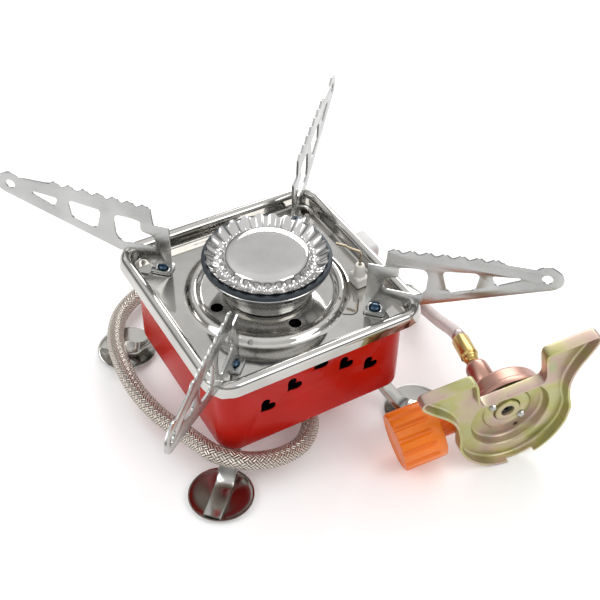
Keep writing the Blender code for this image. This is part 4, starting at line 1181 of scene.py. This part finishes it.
class STOVE_OT_hose(bpy.types.Operator):
    """Lay the braided hose and the smooth pipe with its ferrule"""

    bl_idname = "stove.hose"
    bl_label = "Hose"

    def execute(self, context):
        radius = context.scene.stove_sizes.hose_radius / MM
        path = smooth_path(hose_route(), 420)
        mesh = braided_mesh("braided_hose", path, radius, 28)
        hose = piece("braided_hose", None, "braid", "stove", ["hose"], mesh=mesh, sharp=60)

        ferrule_start = regulator_frame() @ Vector((NECK_U, NECK_V, -25.75))
        along = Vector((4.9, 16.7, -1.4)).normalized()
        end = ferrule_start + along * FERRULE_LONG
        profile = [
            (0, 0.0), (2.5, 0.0), (2.9, 0.3), (3.1, 0.9), (2.9, 1.4), (2.5, 1.8), (2.4, 2.3), (2.7, 2.7), (3.3, 3.2),
            (3.4, 3.7), (3.3, 4.3), (3.7, 4.9), (4.1, 5.4), (4.1, FERRULE_LONG - 0.5), (3.9, FERRULE_LONG),
            (PIPE_BORE, FERRULE_LONG), (PIPE_BORE, 10.5), (0, 10.5),
        ]
        ferrule = piece("brass_ferrule", lathe(profile, 48, solid=True), "brass", "stove", ["pipe_ferrule"],
                        matrix=facing(ferrule_start, along), sharp=30)
        route = [end + along * ahead for ahead in (-6, -4.5, -3, -1.5, 0, 1.5, 3.5)]
        route += [Vector((79.0, -36.0, 28.0)), Vector((83.6, -22.0, 19.2))]
        route += [JOINT + TOWARD * ahead for ahead in (14, 8.5, 4, 0.4)]
        pipe = piece("smooth_pipe", rod(smooth_path(route, 110), PIPE_R, 28, (1, 0, 0)), "pipe", "stove",
                     ["gas_pipe"], sharp=60)
        bore = radius + 0.3
        sleeve = [
            (bore, -8.0), (bore + 0.7, -8.0), (bore + 1.1, -7.5), (bore + 1.1, -6.0), (bore + 0.7, -5.6),
            (bore + 0.7, -5.0), (bore + 1.1, -4.6), (bore + 1.1, 3.8), (bore + 0.8, 4.5), (PIPE_BORE + 1.0, 7.2),
            (PIPE_BORE + 0.6, 7.6), (PIPE_BORE, 7.6), (PIPE_BORE, 0.0), (bore, 0.0),
        ]
        crimp = piece("crimped_sleeve", lathe(sleeve, 48), "leg", "stove", ["hose_sleeve"],
                      matrix=facing(JOINT, TOWARD), sharp=30)
        first = [
            (bore, 0), (bore + 0.9, 0), (bore + 1.2, 0.3), (bore + 1.2, 3), (bore + 0.8, 3.4), (bore + 0.8, 4.4),
            (bore + 1.2, 4.8), (bore + 1.2, 10.2), (bore + 0.7, 11.4), (bore, 11.4),
        ]
        inlet = piece("inlet_sleeve", lathe(first, 48), "leg", "stove", ["hose_inlet_sleeve"],
                      matrix=facing((0, -12.3, 10), (0, -1, 0)), sharp=30)
        line = [tuple(p * MM) for p in path]
        regulator = [frame["nodes"][n] for n in ("nozzle_seal", "plate_screw_0", "plate_screw_1")]
        names = ("winged_plate", "valve_housing", "hex_neck", "seat_ring", "knob_grip", "knob_spindle")
        regulator += [bpy.data.objects[n] for n in names]
        lengths_along(path)[-1] * MM
        return {"FINISHED"}


# ---------------------------------------------------------------- regulator


def wing_outline():
    """The plate's edge: a round foot below, two flared wings above."""
    lower = []
    for i in range(49):
        angle = math.radians(205 + 130 * i / 48)
        lower.append((PLATE_FOOT * math.cos(angle), PLATE_FOOT * math.sin(angle)))
    right = [
        (26.6, -4.0), (26.0, 4.0), (26.4, 11.0), (28.2, 16.5), (31.8, 22.0), (36.4, 27.2), (40.0, 32.0), (40.6, 34.6),
        (39.4, 36.3), (37.8, 36.8), (30.0, 36.8), (24.0, 36.8), (18.0, 36.8), (16.2, 36.2), (15.4, 34.4), (15.2, 30.0),
        (15.2, 24.0), (14.2, 21.2), (11.6, 20.4), (6.0, 20.4),
    ]
    whole = lower + right + [(-x, y) for x, y in right[::-1]]
    return soften(whole, 3)


def inset_loop(loop, inset):
    """The loop moved inwards."""
    out = []
    for i, here in enumerate(loop):
        before = Vector(loop[i - 3])
        after = Vector(loop[(i + 3) % len(loop)])
        along = (after - before).normalized()
        out.append((here[0] - along.y * inset, here[1] + along.x * inset))
    return out


class STOVE_OT_plate(bpy.types.Operator):
    """Make the winged plate that holds the cartridge"""

    bl_idname = "stove.plate"
    bl_label = "Regulator plate"

    def execute(self, context):
        edge = wing_outline()
        rim = [
            (1.3, -1.2), (0.6, -1.0), (0.15, -0.5), (0.0, 0.2), (0.0, 4.8), (0.2, 5.0), (1.0, 5.0), (1.2, 4.8),
            (1.2, 1.0), (1.4, 0.4), (1.9, 0.08), (2.4, 0.0),
        ]
        rings = [[(x, y, w) for x, y in inset_loop(edge, inset)] for inset, w in rim]
        count = len(edge)
        bowl = [
            (19.2, 0.0), (18.8, -0.1), (18.5, -0.5), (18.3, -1.2), (17.9, -3.6), (17.6, -4.2), (17.1, -4.45),
            (16.6, -4.5), (11.9, -4.5), (11.5, -4.35), (11.2, -3.85), (10.7, -3.6), (6.6, -3.6), (6.4, -3.7),
            (6.4, -4.8), (11.3, -4.8), (12.0, -5.7), (17.6, -5.7), (19.0, -4.6), (19.4, -1.6), (19.8, -1.2),
        ]
        steps = 128
        rings += [circle(r, w, steps) for r, w in bowl]
        points = [p for ring in rings for p in ring]
        start = len(rim) * count
        faces = walls(0, count, len(rim)) + walls(start, steps, len(bowl))
        last = start + (len(bowl) - 1) * steps
        for outer, inner in ((start - count, start), (0, last)):
            index = [*range(outer, outer + count), *range(inner, inner + steps)]
            flat = [Vector((points[i][0], points[i][1], 0)) for i in index]
            for corners in tessellate_polygon([flat[:count], flat[count:]]):
                faces.append([index[c] for c in corners])
        space = regulator_frame()
        made = put("winged_plate", mesh_of("winged_plate", (points, faces), space))
        cuts = []
        for u, v, r in ((-6.0, 14.6, 1.7), (4.0, -13.6, 1.2)):
            cuts.append(moved(drill(r, -9, -2, 24), Matrix.Translation((u, v, 0))))
        cuts.append(plate([(-5, -31), (8, -31), (8, -22.9), (-5, -22.9)], [], 2.6, 9.0))
        cut(made, merged(*cuts), space)
        settle(made, "plate", "stove", ["regulator_plate"], sharp=40)
        return {"FINISHED"}


class STOVE_OT_valve(bpy.types.Operator):
    """Make the valve body, its neck and the seat for the cartridge"""

    bl_idname = "stove.valve"
    bl_label = "Valve"

    def execute(self, context):
        space = regulator_frame()
        body = [
            (0, -9.2), (6.5, -9.2), (6.5, -6.0), (18.8, -6.0), (20.15, -5.2), (20.15, -1.6), (20.6, -1.6), (20.9, -1.9),
            (20.9, -4.2), (20.4, -5.0), (19.5, -5.5), (19.3, -6.0), (19.3, -10.2), (19.0, -11.0), (18.4, -11.7),
            (17.5, -12.0), (0, -12.0),
        ]
        barrel = [(0, 9.0), (2.5, 9.0), (2.5, 0), (4.9, 0), (5.3, 0.5), (5.3, 11.2), (4.6, 12.0), (0, 12.0)]
        at = facing((-19.2, STEM_V, STEM_W), (1, 0, 0))
        shape = merged(lathe(body, 96, solid=True), moved(lathe(barrel, 48, solid=True), at))
        piece("valve_housing", shape, "valve", "stove", ["valve_body"], matrix=space, sharp=35)
        neck = ((-12.3, 4.9), (-12.8, 5.2), (-22.4, 5.2), (-23.4, 5.0), (-24.4, 4.5), (-25.0, 3.8))
        rings = [[(u, v, w) for u, v in ring_at(NECK_U, NECK_V, r, 48)] for w, r in neck]
        piece("hex_neck", loft(rings), "valve", "stove", ["neck_nut"], matrix=space, sharp=40)
        seat = [
            (2.9, -3.1), (3.1, -2.75), (3.5, -2.6), (5.2, -2.6), (5.7, -2.75), (6.0, -3.2), (6.0, -8.8), (2.9, -8.8),
        ]
        piece("seat_ring", lathe(seat, 64), "plate", "stove", ["cartridge_seat"], matrix=space, sharp=35)
        return {"FINISHED"}


def grooved_ring(grooves, along, radius, depth, narrow, fine=16):
    """A ring round the knob with a flat-bottomed groove in the middle of each grip."""
    ring = []
    reach = 0.42 * narrow
    for i in range(grooves * fine):
        share = abs((i % fine) - fine / 2) / (fine / 2)
        out = radius - (depth * (1 - (share / reach) ** 4) if share < reach else 0.0)
        angle = math.tau * i / (grooves * fine)
        ring.append((out * math.cos(angle), out * math.sin(angle), along))
    return ring


class STOVE_OT_knob(bpy.types.Operator):
    """Make the grooved control knob"""

    bl_idname = "stove.knob"
    bl_label = "Control knob"

    def execute(self, context):
        grooves = context.scene.stove_sizes.grooves
        axis = regulator_frame() @ facing((-50.7, STEM_V, STEM_W), (1, 0, 0))
        end = KNOB_LONG
        levels = [
            (0.35, 2.0, 0, 1), (0.35, 11.3, 0, 1), (0.0, 11.9, 0, 1), (0.0, 12.4, 0.2, 1), (0.25, 12.95, 0.7, 1),
            (0.7, 13.25, 1.2, 1), (1.2, KNOB_R, 1.4, 1), (end - 6.4, KNOB_R, 1.4, 1), (end - 5.4, KNOB_R, 1.25, 0.9),
            (end - 4.7, KNOB_R, 0.8, 0.75), (end - 4.2, KNOB_R, 0.2, 0.5), (end - 4.0, KNOB_R, 0, 1),
            (end - 0.9, KNOB_R - 0.05, 0, 1), (end - 0.3, KNOB_R - 0.35, 0, 1), (end, KNOB_R - 1.0, 0, 1),
            (end, 6.0, 0, 1),
        ]
        rings = [grooved_ring(grooves, *level) for level in levels]
        piece("knob_grip", loft(rings), "knob", "control_knob", ["control_knob"], matrix=axis, sharp=38)
        ribs = []
        for w, r in ((end - 0.5, 5.6), (end + 10.7, 5.6), (end + 11.0, 5.3), (end + 11.0, 2.6), (end + 2.0, 2.6)):
            depth = 0.12 if r > 5 else 0
            angles = [math.tau * i / 96 for i in range(96)]
            reach = [r + depth * math.cos(16 * angle) for angle in angles]
            ribs.append([(out * math.cos(angle), out * math.sin(angle), w) for out, angle in zip(reach, angles)])
        piece("knob_stem", loft(ribs), "stem", "control_knob", matrix=axis, sharp=38)
        spindle = [(0, end + 2.4), (2.2, end + 2.4), (2.2, end + 19.0), (1.9, end + 19.6), (0, end + 19.6)]
        piece("knob_spindle", lathe(spindle, 40, solid=True), "brass", "control_knob", ["valve_spindle"],
              matrix=axis, sharp=35)
        return {"FINISHED"}


class STOVE_OT_inner(bpy.types.Operator):
    """Give the pieces inside the pan and the small screws their finishes"""

    bl_idname = "stove.inner"
    bl_label = "Inner pieces"

    def execute(self, context):
        table = {
            "mixing_tube": "leg", "burner_nut": "leg", "jet_holder": "brass", "gas_jet": "brass",
            "inlet_elbow": "brass", "inlet_nut": "brass", "igniter_body": "plastic", "ignition_lead": "rubber",
            "nozzle_seal": "rubber", "plate_screw_0": "leg", "plate_screw_1": "leg",
        }
        for name, finish in table.items():
            coat_node(name, finish)
        return {"FINISHED"}


# ---------------------------------------------------------------- stage


FLOOR_HALF = 4.0  # metres, well past the edge of any view
FLOOR_Z = -0.0002
SKY = ((0.0, (0.86, 0.86, 0.86)), (0.12, (0.80, 0.80, 0.80)), (0.28, (0.10, 0.10, 0.105)), (0.75, (1.0, 1.0, 1.0)))
CAMERA_AT = (-0.1664, -0.3057, 0.3739)
CAMERA_TURN, CAMERA_TILT, CAMERA_ROLL = -30.99, 42.68, 1.34  # degrees


def soft_light(name, place, aim, size, power):
    """A soft box that faces a point."""
    lamp = bpy.data.lights.new(name, "AREA")
    lamp.shape = "RECTANGLE"
    lamp.size, lamp.size_y = size
    lamp.energy = power
    made = put(name, lamp)
    made.location = place
    made.rotation_euler = (Vector(aim) - Vector(place)).to_track_quat("-Z", "Y").to_euler()


def studio_world(name):
    """Light that is even at the horizon, dark above it and bright overhead, for the steel to mirror."""
    world = bpy.data.worlds.new(name)
    world.use_nodes = True
    nodes = world.node_tree.nodes
    where = nodes.new("ShaderNodeTexCoord")
    parts = nodes.new("ShaderNodeSeparateXYZ")
    ramp = nodes.new("ShaderNodeValToRGB")
    back = nodes["Background"].inputs
    back["Strength"].default_value = 1.0
    for source, target in (
        (where.outputs["Generated"], parts.inputs[0]), (parts.outputs[2], ramp.inputs[0]), (ramp.outputs[0], back[0]),
    ):
        world.node_tree.links.new(source, target)
    stops = ramp.color_ramp.elements
    for place, _ in SKY[1:-1]:
        stops.new(place)
    for stop, (place, colour) in zip(stops, SKY):
        stop.position = place
        stop.color = (*colour, 1)
    return world


def studio_camera(name):
    """The camera above the front left corner."""
    lens = bpy.data.cameras.new(name)
    lens.lens = 63.17
    lens.sensor_width = 36.0
    lens.clip_start = 0.01
    camera = put(name, lens)
    turn, tilt, roll = (math.radians(a) for a in (CAMERA_TURN, CAMERA_TILT, CAMERA_ROLL))
    back = Vector((math.sin(turn) * math.cos(tilt), -math.cos(turn) * math.cos(tilt), math.sin(tilt)))
    level = Vector((math.cos(turn), math.sin(turn), 0))
    upward = back.cross(level)
    right = level * math.cos(roll) + upward * math.sin(roll)
    up = upward * math.cos(roll) - level * math.sin(roll)
    camera.matrix_world = Matrix.Translation(CAMERA_AT) @ Matrix((right, up, back)).transposed().to_4x4()
    return camera


class STOVE_OT_stage(bpy.types.Operator):
    """Set the floor, the soft lights and the camera"""

    bl_idname = "stove.stage"
    bl_label = "Stage"

    def execute(self, context):
        scene = context.scene
        mesh = bpy.data.meshes.new("floor")
        corners = ((-1, -1), (1, -1), (1, 1), (-1, 1))
        mesh.from_pydata([(x * FLOOR_HALF, y * FLOOR_HALF, FLOOR_Z) for x, y in corners], [], [(0, 1, 2, 3)])
        floor = put("floor", mesh)
        ground = Finish("floor_paper", tuple(scene.stove_colours.floor), 0.6, 0.0)
        ground.paint("Roughness", 0.55 + ground.noise(3, 2) * 0.1)
        ground.shader.inputs["Emission Color"].default_value = (1, 1, 1, 1)
        ground.shader.inputs["Emission Strength"].default_value = 0.10
        mesh.materials.append(ground.material)

        soft_light("top_box", (0.9, 1.0, 0.75), (0, 0, 0.03), (0.9, 0.5), 9)
        soft_light("left_box", (-1.0, 0.1, 0.9), (0, 0, 0.05), (0.6, 0.9), 4)
        soft_light("right_box", (0.5, -0.9, 1.0), (0.05, 0, 0.05), (0.7, 0.6), 4)
        scene.world = studio_world("studio")
        scene.view_settings.view_transform = "Standard"
        scene.camera = studio_camera("camera")
        return {"FINISHED"}


# ---------------------------------------------------------------- panel and assembly

STEPS = (
    "stage", "pan", "tray", "burner", "igniter", "arms", "legs", "rivets", "plate", "valve", "knob", "hose", "inner",
)


class STOVE_PT_panel(bpy.types.Panel):
    """The stove's pieces, sizes and colours"""

    bl_label = "Camping stove"
    bl_idname = "STOVE_PT_panel"
    bl_space_type = "VIEW_3D"
    bl_region_type = "UI"
    bl_category = "Stove"

    def draw(self, context):
        for group in (context.scene.stove_sizes, context.scene.stove_colours):
            for key in group.__annotations__:
                self.layout.prop(group, key)
        for step in STEPS:
            self.layout.operator("stove." + step)


CLASSES = (
    StoveSizes, StoveColours, STOVE_OT_tray, STOVE_OT_pan, STOVE_OT_burner, STOVE_OT_igniter, STOVE_OT_arms,
    STOVE_OT_legs, STOVE_OT_rivets, STOVE_OT_hose, STOVE_OT_plate, STOVE_OT_valve, STOVE_OT_knob, STOVE_OT_inner,
    STOVE_OT_stage, STOVE_PT_panel,
)


def register():
    for one in CLASSES:
        bpy.utils.register_class(one)
    bpy.types.Scene.stove_sizes = PointerProperty(type=StoveSizes)
    bpy.types.Scene.stove_colours = PointerProperty(type=StoveColours)


def unregister():
    del bpy.types.Scene.stove_sizes
    del bpy.types.Scene.stove_colours
    for one in reversed(CLASSES):
        bpy.utils.unregister_class(one)


def main():
    register()
    for step in STEPS:
        getattr(bpy.ops.stove, step)()


if __name__ == "__main__":
    main()
